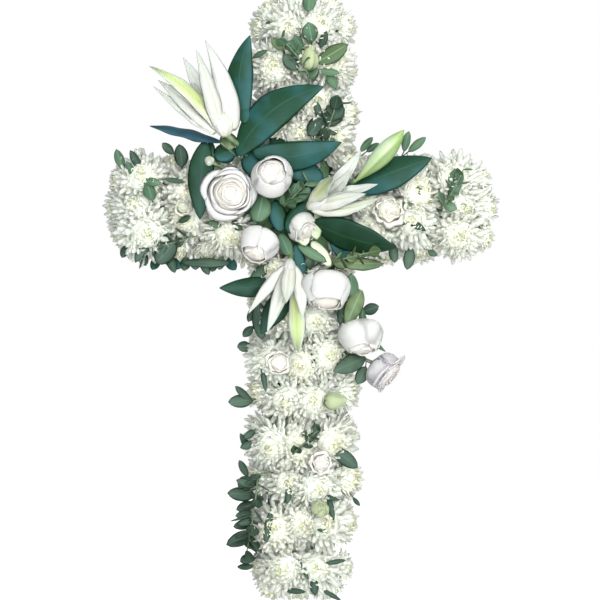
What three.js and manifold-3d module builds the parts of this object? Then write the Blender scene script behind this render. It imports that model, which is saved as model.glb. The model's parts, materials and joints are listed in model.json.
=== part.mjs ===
// A funeral cross of fresh white flowers. Cross-shaped floral foam sits in a shallow plastic tray and is
// massed with spray chrysanthemums. Roses, lilies, large dark leaves and small greens go in over them.
// Millimetres, +Z up, the flowers face -Y. The origin is on the tray's flat back, behind the crossing.
import * as THREE from "three";
import { mergeVertices } from "three/addons/utils/BufferGeometryUtils.js";
import Module from "manifold-3d";

const wasm = await Module();
wasm.setup();

// Foam and tray
const FOAM_HALF_WIDTH = 43;
const FOAM_TOP = 280;
const FOAM_BOTTOM = 548;
const FOAM_ARM = 250;
const FOAM_DEPTH = 58;
const FOAM_CHAMFER = 6;
const TRAY_FLOOR = 4;
const TRAY_RIM = 16;
const TRAY_WALL = 2.4;
const FIT_GAP = 0.3;
const FOAM_FACE = -(TRAY_FLOOR + FIT_GAP + FOAM_DEPTH);

// Chrysanthemum heads
const HEAD_RADIUS = 39;
const HEAD_HEIGHT = 38;
const HEAD_SIDES = 7;
const EDGE_HEAD_SIDES = 5;
const HIDDEN_UNDER_ROSE = 27;
const ROW_PITCH = 62;
const ROW_START = 104;
const ROW_ACROSS = 35;
const EDGE_PITCH = 66;
const EDGE_START = 66;
const END_STEP = 36;
const EDGE_DEPTH = 31;
const EDGE_TILT = 0.5;
const HEADS_IN_SPRAY = 5;
const STALK_BEYOND = 68;
const STALK_LIFT = 9;
const STALK_RADIUS = 2;

// Clearance between flowers that would touch
const CLEARANCE = 0.7;

const COLOURS = {
  tray_plastic: { color: 0x2f4a34, roughness: 0.55 },
  foam_green: { color: 0x3f6a46, roughness: 0.95 },
  mum_petals: { color: 0xeef1e8, roughness: 0.7 },
  rose_petals: { color: 0xf2efe8, roughness: 0.6 },
  lily_petals: { color: 0xf1f4e6, roughness: 0.5 },
  bud_green: { color: 0xb9cf86, roughness: 0.5 },
  dark_leaf: { color: 0x24503c, roughness: 0.35 },
  sprig_leaf: { color: 0x6c8f6c, roughness: 0.6 },
};

// An even scatter in -0.5 to 0.5 that is the same on every run
const GOLDEN = 0.6180339887;
function scatter(index, turn) {
  return ((index * GOLDEN * (turn + 1) + 0.37 * turn) % 1) - 0.5;
}

const at = (x, y, z) => new THREE.Vector3(x, y, z);

// A closed geometry becomes a solid
function solidOf(geometry) {
  geometry.deleteAttribute("normal");
  geometry.deleteAttribute("uv");
  const merged = mergeVertices(geometry, 1e-3);
  const corners = merged.index.array;
  const kept = [];
  for (let i = 0; i < corners.length; i += 3) {
    const [a, b, c] = corners.slice(i, i + 3);
    if (a !== b && b !== c && c !== a) kept.push(a, b, c);
  }
  merged.setIndex(kept);
  const mesh = new wasm.Mesh({
    numProp: 3,
    vertProperties: new Float32Array(merged.attributes.position.array),
    triVerts: new Uint32Array(kept),
  });
  return new wasm.Manifold(mesh);
}

function joined(solids) {
  return solids.reduce((whole, next) => whole.add(next));
}

function largestPiece(solid) {
  const pieces = solid.decompose();
  return pieces.reduce((best, next) => (next.volume() > best.volume() ? next : best));
}

function geometryOf(solid) {
  const mesh = solid.getMesh();
  const geometry = new THREE.BufferGeometry();
  geometry.setAttribute("position", new THREE.BufferAttribute(mesh.vertProperties, 3));
  geometry.setIndex(new THREE.BufferAttribute(mesh.triVerts, 1));
  geometry.computeVertexNormals();
  return geometry;
}

// A lathed form that stands on foot and points along facing. Grow moves its profile out from the widest ring.
function turned(profile, sides, foot, facing, { lobes = 0, lobeDepth = 0, grow = 0 } = {}) {
  const widest = Math.max(...profile.map((point) => point[0]));
  const belly = profile.findIndex((point) => point[0] === widest);
  const points = profile.map(([radius, height], index) => {
    const up = Math.sign(index - belly) * grow;
    return new THREE.Vector2(radius > 0 ? radius + grow : 0, height + up);
  });
  const geometry = new THREE.LatheGeometry(points, sides);
  const place = geometry.attributes.position;
  const tallest = Math.max(...profile.map((point) => point[1]));
  for (let i = 0; i < place.count && lobes > 0; i += 1) {
    const angle = Math.atan2(place.getZ(i), place.getX(i));
    const swell = 1 + lobeDepth * Math.cos(lobes * angle) * Math.max(0, place.getY(i) / tallest);
    place.setXYZ(i, place.getX(i) * swell, place.getY(i), place.getZ(i) * swell);
  }
  const turn = new THREE.Quaternion().setFromUnitVectors(at(0, 1, 0), facing.clone().normalize());
  geometry.applyQuaternion(turn);
  geometry.translate(foot.x, foot.y, foot.z);
  return geometry;
}

// A round stem between two points
function stem(from, to, radius, grow = 0) {
  const along = to.clone().sub(from);
  const reach = radius + grow;
  const geometry = new THREE.CylinderGeometry(reach, reach, along.length() + 2 * grow, 4);
  geometry.applyQuaternion(new THREE.Quaternion().setFromUnitVectors(at(0, 1, 0), along.clone().normalize()));
  const middle = from.clone().add(to).multiplyScalar(0.5);
  geometry.translate(middle.x, middle.y, middle.z);
  return geometry;
}

// A petal or leaf: a ball drawn out along a bent path, with a pointed oval outline.
// front is the way its upper face looks, fullest is where along it is widest, from 0 to 1.
function blade({ from, to, front, width, thickness, bow = 0, fullest = 0.45, steps = 6, sides = 4, grow }) {
  const along = to.clone().sub(from);
  const side = along.clone().cross(front).normalize();
  const face = side.clone().cross(along).normalize();
  const middle = from.clone().add(to).multiplyScalar(0.5).addScaledVector(face, bow);
  const path = new THREE.QuadraticBezierCurve3(from, middle, to);
  const geometry = new THREE.SphereGeometry(1, sides, steps);
  const place = geometry.attributes.position;
  const power = Math.log(0.5) / Math.log(fullest);
  for (let i = 0; i < place.count; i += 1) {
    const run = Math.acos(THREE.MathUtils.clamp(-place.getY(i), -1, 1)) / Math.PI;
    const ring = Math.hypot(place.getX(i), place.getZ(i));
    const across = ring > 1e-6 ? place.getX(i) / ring : 0;
    const rise = ring > 1e-6 ? place.getZ(i) / ring : 0;
    const spread = Math.sin(Math.PI * Math.pow(run, power));
    const point = path.getPoint(run);
    point.addScaledVector(along, ((run - 0.5) * grow * 6) / along.length());
    point.addScaledVector(side, across * spread * (width * 0.5 + grow * 2));
    point.addScaledVector(face, rise * Math.sqrt(spread) * (thickness * 0.5 + grow * 2));
    place.setXYZ(i, point.x, point.y, point.z);
  }
  return geometry;
}

// Cross outline of a given half width, drawn once for the tray and the foam
function crossShape(half, grow) {
  const top = FOAM_TOP + grow;
  const bottom = -FOAM_BOTTOM - grow;
  const arm = FOAM_ARM + grow;
  const shape = new THREE.Shape();
  const corners = [
    [-half, bottom], [half, bottom], [half, -half], [arm, -half], [arm, half], [half, half],
    [half, top], [-half, top], [-half, half], [-arm, half], [-arm, -half], [-half, -half],
  ];
  corners.forEach(([x, z], index) => (index ? shape.lineTo(x, z) : shape.moveTo(x, z)));
  shape.closePath();
  return shape;
}

// A cross-shaped slab whose back lies at y = back and whose front is depth further forward
function crossSlab(half, grow, back, depth, chamfer = 0) {
  const geometry = new THREE.ExtrudeGeometry(crossShape(half - chamfer, grow - chamfer), {
    depth: depth - chamfer * 2,
    bevelEnabled: chamfer > 0,
    bevelSize: chamfer,
    bevelThickness: chamfer,
    bevelSegments: 1,
  });
  geometry.translate(0, 0, chamfer);
  geometry.rotateX(Math.PI / 2);
  geometry.translate(0, back, 0);
  return geometry;
}

function makeTray() {
  const outer = crossSlab(FOAM_HALF_WIDTH + TRAY_WALL + FIT_GAP, TRAY_WALL + FIT_GAP, 0, TRAY_RIM);
  const pocket = crossSlab(FOAM_HALF_WIDTH + FIT_GAP, FIT_GAP, -TRAY_FLOOR, TRAY_RIM);
  return solidOf(outer).subtract(solidOf(pocket));
}

function makeFoam() {
  return solidOf(crossSlab(FOAM_HALF_WIDTH, 0, -TRAY_FLOOR - FIT_GAP, FOAM_DEPTH, FOAM_CHAMFER));
}

// The four arms: the way each runs from the crossing, and its foam length
const ARMS = {
  top: { along: [0, 1], length: FOAM_TOP },
  left: { along: [-1, 0], length: FOAM_ARM },
  right: { along: [1, 0], length: FOAM_ARM },
  lower: { along: [0, -1], length: FOAM_BOTTOM },
};

// A point on an arm, run out from the crossing and step across it
function onArm(arm, run, step, y) {
  const [x, z] = arm.along;
  return at(x * run - z * step, y, z * run + x * step);
}

// Heads on an arm's face, in staggered rows of three and two
function faceHeads(arm) {
  const heads = [];
  const rows = Math.round((arm.length - 18 - ROW_START) / ROW_PITCH) + 1;
  const pitch = (arm.length - 18 - ROW_START) / (rows - 1);
  for (let row = 0; row < rows; row += 1) {
    const steps = row % 2 ? [-0.5, 0.5] : [-1, 0, 1];
    for (const step of steps) {
      const index = heads.length;
      const run = ROW_START + row * pitch + 12 * scatter(index, 1);
      const across = step * ROW_ACROSS + 8 * scatter(index, 2);
      const lean = onArm(arm, 0.5 * scatter(index, 3), 0.35 * step + 0.4 * scatter(index, 4), -1);
      heads.push({
        foot: onArm(arm, run, across, FOAM_FACE - FIT_GAP),
        facing: lean.normalize(),
        radius: HEAD_RADIUS * (1 + 0.16 * scatter(index, 5)),
        sides: HEAD_SIDES,
        lobes: 3,
      });
    }
  }
  return heads;
}

// Heads round an arm's edge, from one inner corner round the end to the other
function edgeHeads(arm) {
  const half = FOAM_HALF_WIDTH + TRAY_WALL;
  const straight = Math.ceil((arm.length - EDGE_START - 20) / EDGE_PITCH);
  const pitch = (arm.length - EDGE_START - 20) / straight;
  const round = [];
  for (let i = 0; i <= straight; i += 1) {
    round.push({ run: EDGE_START + 8 + i * pitch, step: half, out: [0, 1] });
  }
  for (const share of [1, 0, -1]) {
    round.push({ run: arm.length + TRAY_WALL, step: share * END_STEP, out: [1, share * 0.4] });
  }
  for (let i = straight; i >= 0; i -= 1) {
    round.push({ run: EDGE_START + 8 + i * pitch, step: -half, out: [0, -1] });
  }
  return round.map(({ run, step, out }, index) => {
    const [ahead, aside] = out;
    const depth = -EDGE_DEPTH + 8 * scatter(index, 2);
    const gap = 1.5;
    return {
      foot: onArm(arm, run + ahead * gap, step + aside * gap, depth),
      facing: onArm(arm, ahead, aside + 0.25 * scatter(index, 3), -EDGE_TILT).normalize(),
      radius: HEAD_RADIUS * (1 + 0.08 * scatter(index, 4)),
      sides: EDGE_HEAD_SIDES,
      lobes: 0,
    };
  });
}

// One head: a point at its stem, a wide rim of petal tips and a low crown
function headGeometry({ foot, facing, radius, sides, lobes }, grow) {
  const profile = [[0, 0], [radius, HEAD_HEIGHT * 0.52], [0, HEAD_HEIGHT]];
  return turned(profile, sides, foot, facing, { lobes, lobeDepth: 0.1, grow });
}

// Neighbouring heads share a cut spray, and a stalk joins two that stand too far apart to touch
function spraysOf(heads, name, sprays) {
  const count = Math.round(heads.length / HEADS_IN_SPRAY);
  const each = heads.length / count;
  for (let i = 0; i < count; i += 1) {
    const own = heads.slice(Math.round(i * each), Math.round((i + 1) * each));
    const parts = own.map((head) => (grow) => headGeometry(head, grow));
    own.slice(1).forEach((head, before) => {
      const from = own[before].foot.clone().addScaledVector(own[before].facing, STALK_LIFT);
      const to = head.foot.clone().addScaledVector(head.facing, STALK_LIFT);
      if (from.distanceTo(to) > STALK_BEYOND) parts.push((grow) => stem(from, to, STALK_RADIUS, grow));
    });
    sprays.push({ name: `${name}_${i + 1}`, slot: "mum_petals", parts });
  }
}

// Large roses: the middle of the cup, the way it faces, its radius and where its stem enters the foam
const ROSES = [
  {
    name: "rose_left", middle: at(-106, -122, 19), facing: at(-0.25, -1, 0.2),
    radius: 39, foot: [-70, 10],
  },
  { name: "rose_upper", middle: at(-43, -130, 42), facing: at(0.1, -1, 0.15), radius: 32, foot: [-35, 30] },
  {
    name: "rose_middle", middle: at(-62, -124, -58), facing: at(0.35, -1, 0.25),
    radius: 31, foot: [-40, -32],
  },
  {
    name: "rose_lower", middle: at(33, -128, -122), facing: at(0.1, -0.9, -0.5),
    radius: 36, foot: [20, -95],
  },
  {
    name: "rose_right", middle: at(86, -112, -188), facing: at(0.35, -0.9, -0.4),
    radius: 34, foot: [32, -150],
  },
  {
    name: "rose_tip", middle: at(117, -96, -240), facing: at(0.75, -0.4, -0.55),
    radius: 29, foot: [32, -200],
  },
];

function roseParts({ middle, facing, radius, foot }, stemRadius, sides) {
  const aim = facing.clone().normalize();
  const base = middle.clone().addScaledVector(aim, -radius * 0.95);
  const profile = [
    [0, 0], [0.7, 0.36], [1, 0.95], [0.88, 1.42], [0.58, 1.54], [0.34, 1.34], [0, 1.5],
  ].map(([across, height]) => [across * radius, height * radius]);
  const root = at(foot[0], FOAM_FACE - FIT_GAP, foot[1]);
  return [
    (grow) => turned(profile, sides, base, aim, { lobes: 3, lobeDepth: 0.05, grow }),
    (grow) => stem(root, base.clone().addScaledVector(aim, radius * 0.2), stemRadius, grow),
  ];
}

// Small spray roses and buds among the chrysanthemums
const SMALL_ROSES = [
  { name: "bud_top", middle: at(12, -108, 218), facing: at(0, -0.6, 1), radius: 14, foot: [12, 196] },
  {
    name: "small_rose_left", middle: at(-173, -106, -3), facing: at(0, -1, 0.2),
    radius: 13, foot: [-170, -5],
  },
  {
    name: "small_rose_right", middle: at(123, -110, -6), facing: at(0, -1, 0.3),
    radius: 21, foot: [122, -12],
  },
  {
    name: "small_rose_shaft", middle: at(-33, -112, -229), facing: at(-0.1, -1, 0.1),
    radius: 20, foot: [-30, -230],
  },
  { name: "bud_shaft", middle: at(51, -108, -284), facing: at(0.2, -1, 0.5), radius: 16, foot: [31, -290] },
  {
    name: "small_rose_low", middle: at(28, -108, -374), facing: at(0.1, -1, 0.1),
    radius: 15, foot: [26, -374],
  },
];

// Lilies: the narrow base of the trumpet, the tips of its petals and where the stem enters the foam
const LILIES = [
  {
    name: "lily_upper_left",
    base: at(-100, -112, 104),
    foot: [-26, 56],
    front: at(0.2, -1, 0.1),
    tips: [
      [-140, -150, 237], [-168, -142, 212], [-220, -128, 196], [-216, -158, 164], [-118, -140, 212],
      [-176, -178, 186],
    ],
  },
  {
    name: "lily_centre",
    base: at(8, -120, -2),
    foot: [10, -8],
    front: at(0, -1, 0.3),
    tips: [[86, -140, 80], [108, -158, 32], [112, -166, 10], [42, -166, 46], [66, -196, 14], [70, -146, 52]],
  },
  {
    name: "lily_lower",
    base: at(-20, -116, -84),
    foot: [-8, -60],
    front: at(0, -1, -0.2),
    tips: [
      [-76, -136, -154], [-52, -150, -184], [0, -150, -162], [-4, -142, -210], [-30, -178, -168],
      [-40, -128, -150],
    ],
  },
];

const LILY_PETAL = { width: 30, thickness: 3.2, bow: -14, fullest: 0.5, steps: 4 };

function lilyParts({ base, foot, front, tips }) {
  const middle = tips.reduce((sum, tip) => sum.add(at(...tip)), at(0, 0, 0)).divideScalar(tips.length);
  const axis = middle.clone().sub(base).normalize();
  const root = at(foot[0], FOAM_FACE - FIT_GAP, foot[1]);
  const parts = tips.map((tip) => (grow) => {
    const end = at(...tip);
    const away = end.clone().sub(middle);
    const inward = away.lengthSq() > 1 ? away.negate() : front.clone();
    const from = base.clone().addScaledVector(axis, 4);
    return blade({ ...LILY_PETAL, from, to: end, front: inward, grow });
  });
  const trumpet = [[0, 0], [8, 6], [17, 46], [0, 20]];
  parts.push((grow) => turned(trumpet, 6, base, axis, { grow }));
  parts.push((grow) => stem(root, base.clone().addScaledVector(axis, 5), 3, grow));
  return parts;
}

// The closed lily bud at the upper right
const LILY_BUD = { from: at(70, -112, 30), to: at(147, -138, 108), width: 28, thickness: 28, fullest: 0.6 };
const LILY_BUD_FOOT = [40, 14];

function budParts() {
  const { from, to } = LILY_BUD;
  const root = at(LILY_BUD_FOOT[0], FOAM_FACE - FIT_GAP, LILY_BUD_FOOT[1]);
  return [
    (grow) => blade({ ...LILY_BUD, front: at(0, -1, 0), steps: 7, sides: 7, grow }),
    (grow) => stem(root, from.clone().lerp(to, 0.1), 2.6, grow),
  ];
}

// Large leaves: base, tip, width, bow towards the front and where the stalk enters the foam
const LEAVES = [
  {
    name: "leaf_upper", from: at(-82, -96, 88), to: at(29, -138, 173),
    width: 60, bow: 14, foot: [-32, 66],
  },
  {
    name: "leaf_across", from: at(-62, -108, 84), to: at(57, -124, 80),
    width: 42, bow: 12, foot: [-14, 68],
  },
  {
    name: "leaf_below_lily", from: at(24, -100, -20), to: at(135, -122, -61),
    width: 52, bow: 12, foot: [26, -12],
  },
  { name: "leaf_right", from: at(74, -98, 22), to: at(187, -124, 66), width: 50, bow: 12, foot: [44, 18] },
  {
    name: "leaf_far_left", from: at(-124, -100, 96), to: at(-220, -120, 116),
    width: 28, bow: 8, foot: [-48, 33],
  },
  {
    name: "leaf_hanging", from: at(-140, -104, 90), to: at(-148, -120, -22),
    width: 38, bow: 10, foot: [-100, 31],
  },
  {
    name: "leaf_top_left", from: at(-92, -92, 128), to: at(-76, -104, 246),
    width: 38, bow: 8, foot: [-31, 120],
  },
  {
    name: "leaf_lower_left", from: at(-44, -88, -112), to: at(-120, -100, -126),
    width: 30, bow: 8, foot: [-31, -100],
  },
  {
    name: "leaf_under_lily", from: at(-22, -96, -130), to: at(-60, -112, -188),
    width: 32, bow: 8, foot: [-20, -120],
  },
  {
    name: "leaf_round_rose", from: at(88, -84, -142), to: at(122, -100, -212),
    width: 24, bow: 10, foot: [32, -130],
  },
  {
    name: "leaf_under_rose", from: at(52, -88, -214), to: at(88, -96, -268),
    width: 38, bow: 8, foot: [32, -212],
  },
  {
    name: "leaf_beside_rose", from: at(70, -84, -96), to: at(98, -104, -160),
    width: 34, bow: 8, foot: [32, -86],
  },
];

function leafParts({ from, to, width, bow, foot }) {
  const root = at(foot[0], FOAM_FACE - FIT_GAP, foot[1]);
  return [
    (grow) => blade({ from, to, front: at(0, -1, 0), width, thickness: 2.4, bow, fullest: 0.42, grow }),
    (grow) => stem(root, from.clone().lerp(to, 0.12), 2, grow),
  ];
}

// Sprigs of small round leaves: where the stem enters the foam, its tip and the number of leaves
const SPRIGS = [
  { name: "sprig_top", root: at(16, 0, 150), tip: at(-20, -108, 230), count: 4 },
  { name: "sprig_upper", root: at(31, 0, 70), tip: at(48, -112, 138), count: 4 },
  { name: "sprig_centre", root: at(-14, 0, 20), tip: at(8, -112, 30), count: 6 },
  { name: "sprig_centre_right", root: at(30, 0, -60), tip: at(92, -108, -72), count: 5 },
  { name: "sprig_left_under", root: at(-120, 0, -30), tip: at(-208, -84, -84), count: 5 },
  { name: "sprig_right_tip", root: at(200, 0, 16), tip: at(224, -108, 44), count: 4 },
  { name: "sprig_shaft_left", root: at(-32, 0, -390), tip: at(-90, -74, -470), count: 6 },
  { name: "sprig_shaft", root: at(4, 0, -340), tip: at(20, -108, -324), count: 4 },
];

const SPRIG_LEAF = { width: 20, thickness: 2, bow: 3, steps: 3, sides: 3 };
const SPRIG_LEAF_LENGTH = 28;

function sprigParts({ root, tip, count }) {
  const foot = at(root.x, FOAM_FACE - FIT_GAP, root.z);
  const along = tip.clone().sub(foot);
  const parts = [(grow) => stem(foot, tip, 1.6, grow)];
  const aside = along.clone().cross(at(0, -1, 0.4)).normalize();
  const over = aside.clone().cross(along).normalize();
  for (let i = 0; i < count; i += 1) {
    const share = 0.45 + (0.5 * i) / (count - 1);
    const turn = i * Math.PI * 2 * GOLDEN;
    const reach = aside.clone().multiplyScalar(Math.cos(turn)).addScaledVector(over, Math.sin(turn) * 0.5);
    reach.addScaledVector(along.clone().normalize(), 0.45);
    const from = foot.clone().addScaledVector(along, share);
    const to = from.clone().addScaledVector(reach.normalize(), SPRIG_LEAF_LENGTH);
    parts.push((grow) => blade({ ...SPRIG_LEAF, from, to, front: at(0, -1, 0.2), grow }));
  }
  return parts;
}

// No head is pushed in where a large rose would hide it
function showsBesideRoses({ foot }) {
  return ROSES.every(({ middle }) => Math.hypot(foot.x - middle.x, foot.z - middle.z) > HIDDEN_UNDER_ROSE);
}

// Every cut flower and green, in the order in which one gives way to the one before it
const pieces = [];
for (const rose of ROSES) {
  pieces.push({ name: rose.name, slot: "rose_petals", parts: roseParts(rose, 2.6, 10) });
}
LILIES.forEach((lily) => pieces.push({ name: lily.name, slot: "lily_petals", parts: lilyParts(lily) }));
pieces.push({ name: "lily_bud", slot: "bud_green", parts: budParts() });
for (const rose of SMALL_ROSES) {
  pieces.push({ name: rose.name, slot: "rose_petals", parts: roseParts(rose, 1.8, 6) });
}
LEAVES.forEach((leaf) => pieces.push({ name: leaf.name, slot: "dark_leaf", parts: leafParts(leaf) }));
SPRIGS.forEach((sprig) => pieces.push({ name: sprig.name, slot: "sprig_leaf", parts: sprigParts(sprig) }));
for (const [name, arm] of Object.entries(ARMS)) {
  spraysOf(faceHeads(arm).filter(showsBesideRoses), `mums_${name}`, pieces);
  spraysOf(edgeHeads(arm), `mums_${name}_edge`, pieces);
}

const group = new THREE.Group();

function addNode(name, slot, solid) {
  const material = new THREE.MeshStandardMaterial({ ...COLOURS[slot], metalness: 0 });
  const mesh = new THREE.Mesh(geometryOf(solid), material);
  mesh.name = name;
  group.add(mesh);
}

function boxesMeet(one, two) {
  return [0, 1, 2].every((axis) => one.min[axis] <= two.max[axis] && two.min[axis] <= one.max[axis]);
}

const foam = makeFoam();
const tray = makeTray();
addNode("tray", "tray_plastic", tray);
addNode("foam", "foam_green", foam);

// The foam and the tray count as placed already
const trayRoom = TRAY_WALL + 2 * FIT_GAP;
const foamRoom = -FOAM_FACE + FIT_GAP * 0.5;
const placed = [
  solidOf(crossSlab(FOAM_HALF_WIDTH + trayRoom, trayRoom, 0.5, TRAY_RIM + 1)),
  solidOf(crossSlab(FOAM_HALF_WIDTH + FIT_GAP, FIT_GAP, 0, foamRoom, FOAM_CHAMFER)),
];
for (const { name, slot, parts } of pieces) {
  let solid = joined(parts.map((part) => solidOf(part(0))));
  for (const other of placed) {
    if (boxesMeet(solid.boundingBox(), other.boundingBox())) solid = solid.subtract(other);
  }
  addNode(name, slot, largestPiece(solid));
  placed.push(joined(parts.map((part) => solidOf(part(CLEARANCE)))));
}

export default group;
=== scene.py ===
# %% [markdown]
# # A funeral cross of fresh white flowers
# The real piece is a cross of floral foam in a shallow tray. A florist masses it with white spray
# chrysanthemums, then pushes roses, lilies, large leaves and small greens in over the crossing.
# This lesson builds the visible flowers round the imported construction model, which gives every place
# and size. The model is loaded first, because nothing here may leave the room that it gives.

# %% Load the construction model
import json
import math

import bmesh
import bpy
import numpy as np
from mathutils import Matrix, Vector

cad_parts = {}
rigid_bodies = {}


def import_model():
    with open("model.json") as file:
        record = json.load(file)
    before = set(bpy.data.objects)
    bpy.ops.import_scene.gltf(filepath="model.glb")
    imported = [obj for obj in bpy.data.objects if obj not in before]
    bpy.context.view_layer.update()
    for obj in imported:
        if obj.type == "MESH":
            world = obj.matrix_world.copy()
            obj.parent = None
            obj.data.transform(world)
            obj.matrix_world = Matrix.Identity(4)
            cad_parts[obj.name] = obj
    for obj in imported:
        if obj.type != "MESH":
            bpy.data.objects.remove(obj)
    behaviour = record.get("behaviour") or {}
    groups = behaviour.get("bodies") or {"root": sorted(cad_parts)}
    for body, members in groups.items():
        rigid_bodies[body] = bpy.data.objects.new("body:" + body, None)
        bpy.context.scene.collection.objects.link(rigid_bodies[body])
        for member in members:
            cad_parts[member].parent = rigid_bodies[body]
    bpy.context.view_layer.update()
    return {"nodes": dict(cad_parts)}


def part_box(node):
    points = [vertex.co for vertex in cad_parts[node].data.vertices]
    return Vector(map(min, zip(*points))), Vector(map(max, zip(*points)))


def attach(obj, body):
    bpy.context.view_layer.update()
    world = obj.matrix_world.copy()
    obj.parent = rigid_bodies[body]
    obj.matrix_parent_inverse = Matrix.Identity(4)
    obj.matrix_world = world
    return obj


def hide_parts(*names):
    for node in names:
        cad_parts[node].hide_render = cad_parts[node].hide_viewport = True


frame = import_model()

# %% [markdown]
# ## Camera
# The photograph looks almost squarely at the cross from about two metres, a little from the left, and
# its frame cuts the top and just meets the foot. A long lens keeps the arms parallel. The camera is
# placed first, so that every piece can be given by where the picture shows it.

# %% Camera and places in the picture
FRAME_HEIGHT = 0.870
PICTURE_SIDE = 600
PIXEL = FRAME_HEIGHT / PICTURE_SIDE
CAMERA_DISTANCE = 2.2
SENSOR = 36.0
CAMERA_TURN = math.radians(4.0)
AIM = Vector((-0.003, -0.10, -0.138))
RIGHT = Vector((math.cos(CAMERA_TURN), -math.sin(CAMERA_TURN), 0.0))


def add_object(name, data, collection=None):
    """Makes an object of some data and links it into a collection, or else into the scene."""
    made = bpy.data.objects.new(name, data)
    (collection or bpy.context.scene.collection).objects.link(made)
    return made


def look_at(thing, target):
    """Turns a camera or a light to face a point."""
    thing.rotation_euler = (target - thing.location).to_track_quat("-Z", "Y").to_euler()


camera_data = bpy.data.cameras.new("camera")
camera_data.sensor_width = SENSOR
camera_data.lens = SENSOR * CAMERA_DISTANCE / FRAME_HEIGHT
camera = add_object("camera", camera_data)
away = Vector((-math.sin(CAMERA_TURN), -math.cos(CAMERA_TURN), 0.0))
camera.location = AIM + away * CAMERA_DISTANCE
look_at(camera, AIM)
bpy.context.scene.camera = camera


def seen(across, down, depth):
    """The point at a depth in mm (negative is forward) that the picture shows at (across, down)."""
    above = Vector((0, 0, PICTURE_SIDE / 2 - down))
    target = AIM + (RIGHT * (across - PICTURE_SIDE / 2) + above) * PIXEL
    ray = target - camera.location
    share = (depth * 0.001 - camera.location.y) / ray.y
    return np.array(camera.location + ray * share)


print("picture centre at the flowers:", seen(300, 300, -100).round(3))

# %% [markdown]
# ## Wiring nodes
# Finishes, surroundings and flower heads are all made by node trees. One helper adds a node, sets its
# properties and fills its inputs, so that each tree below reads as a recipe.

# %% Node helpers


class Wiring:
    """A node tree being wired up. Prefix is how the names of its own kinds of node start."""

    def __init__(self, tree, prefix="ShaderNode"):
        self.tree = tree
        self.prefix = prefix

    def put(self, kind, inputs=None, **settings):
        """Adds a node, sets its properties and fills its inputs."""
        whole = kind.startswith(("Shader", "Function", "NodeGroup"))
        made = self.tree.nodes.new(kind if whole else self.prefix + kind)
        for key, value in settings.items():
            setattr(made, key, value)
        self.fill(made, inputs or {})
        return made

    def fill(self, made, inputs):
        """Sets inputs, or links them to a socket, to a node's first output or to a list of those."""
        for key, value in inputs.items():
            for source in value if isinstance(value, list) else [value]:
                if isinstance(source, bpy.types.Node):
                    source = source.outputs[0]
                if isinstance(source, bpy.types.NodeSocket):
                    self.tree.links.new(source, made.inputs[key])
                else:
                    made.inputs[key].default_value = source

    def calc(self, operation, *values):
        return self.put("ShaderNodeMath", dict(enumerate(values)), operation=operation)

    def times(self, first, second):
        return self.calc("MULTIPLY", first, second)

    def plus(self, first, second):
        return self.calc("ADD", first, second)

    def vector(self, x, y, z):
        return self.put("ShaderNodeCombineXYZ", {0: x, 1: y, 2: z})


# %% [markdown]
# ## Light
# The photograph is evenly lit from the front, with soft grey shade under the arms. A large soft light
# in front does most of it, and a smaller one from above on the right gives the petals their shape. The
# surroundings are white to the camera but light the flowers less, because a full white surround would
# wash the petals out.

# %% Light and surroundings
WORLD_LIGHT = 0.92
LIT_MIDDLE = Vector((0.0, -0.1, -0.1))

world = bpy.data.worlds.new("white_surround")
bpy.context.scene.world = world
world.use_nodes = True
sky = Wiring(world.node_tree)
lighting = sky.tree.nodes["Background"]
sky.fill(lighting, {"Color": (0.96, 0.985, 1.0, 1.0), "Strength": WORLD_LIGHT})
shown = sky.put("Background", {"Color": (1.0, 1.0, 1.0, 1.0)})
for_camera = sky.put("LightPath").outputs["Is Camera Ray"]
surround = sky.put("MixShader", {0: for_camera, 1: lighting, 2: shown})
sky.fill(sky.tree.nodes["World Output"], {"Surface": surround})


def soft_light(name, place, power, size, colour):
    """A square area light that faces the middle of the cross."""
    data = bpy.data.lights.new(name, "AREA")
    data.energy = power
    data.size = size
    data.color = colour
    light = add_object(name, data)
    light.location = place
    look_at(light, LIT_MIDDLE)
    print(name, power, "W")


soft_light("key_above", Vector((1.0, -1.6, 2.0)), 44.0, 1.1, (1.0, 0.985, 0.955))
soft_light("fill_front", Vector((0.20, -3.0, 0.25)), 270.0, 2.6, (1.0, 0.995, 0.985))
bpy.context.scene.view_settings.view_transform = "Standard"
bpy.context.scene.view_settings.look = "None"

# %% [markdown]
# ## Finishes
# Petals are thin and let light through, so their shader scatters light below the surface and a second,
# translucent shader is mixed in. The colour runs from a cream or green heart to a cool white tip, by
# attributes that each petal carries; the chrysanthemum petals are also painted lighter at the base,
# against the shade deep in the head. Painted shade darkens the lily petals' edges and greys some roses.
# Leaves are dark and barely shiny, with veins from their own map and random bluish patches of painted sheen.

# %% Finish helpers
SHEET_MAP = "sheet"


def rgba(colour):
    """Four channels. A single number is a grey, and what comes from a node stays as it is."""
    if isinstance(colour, (bpy.types.Node, bpy.types.NodeSocket)):
        return colour
    return (*colour, 1.0) if isinstance(colour, tuple) else (colour, colour, colour, 1.0)


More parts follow.
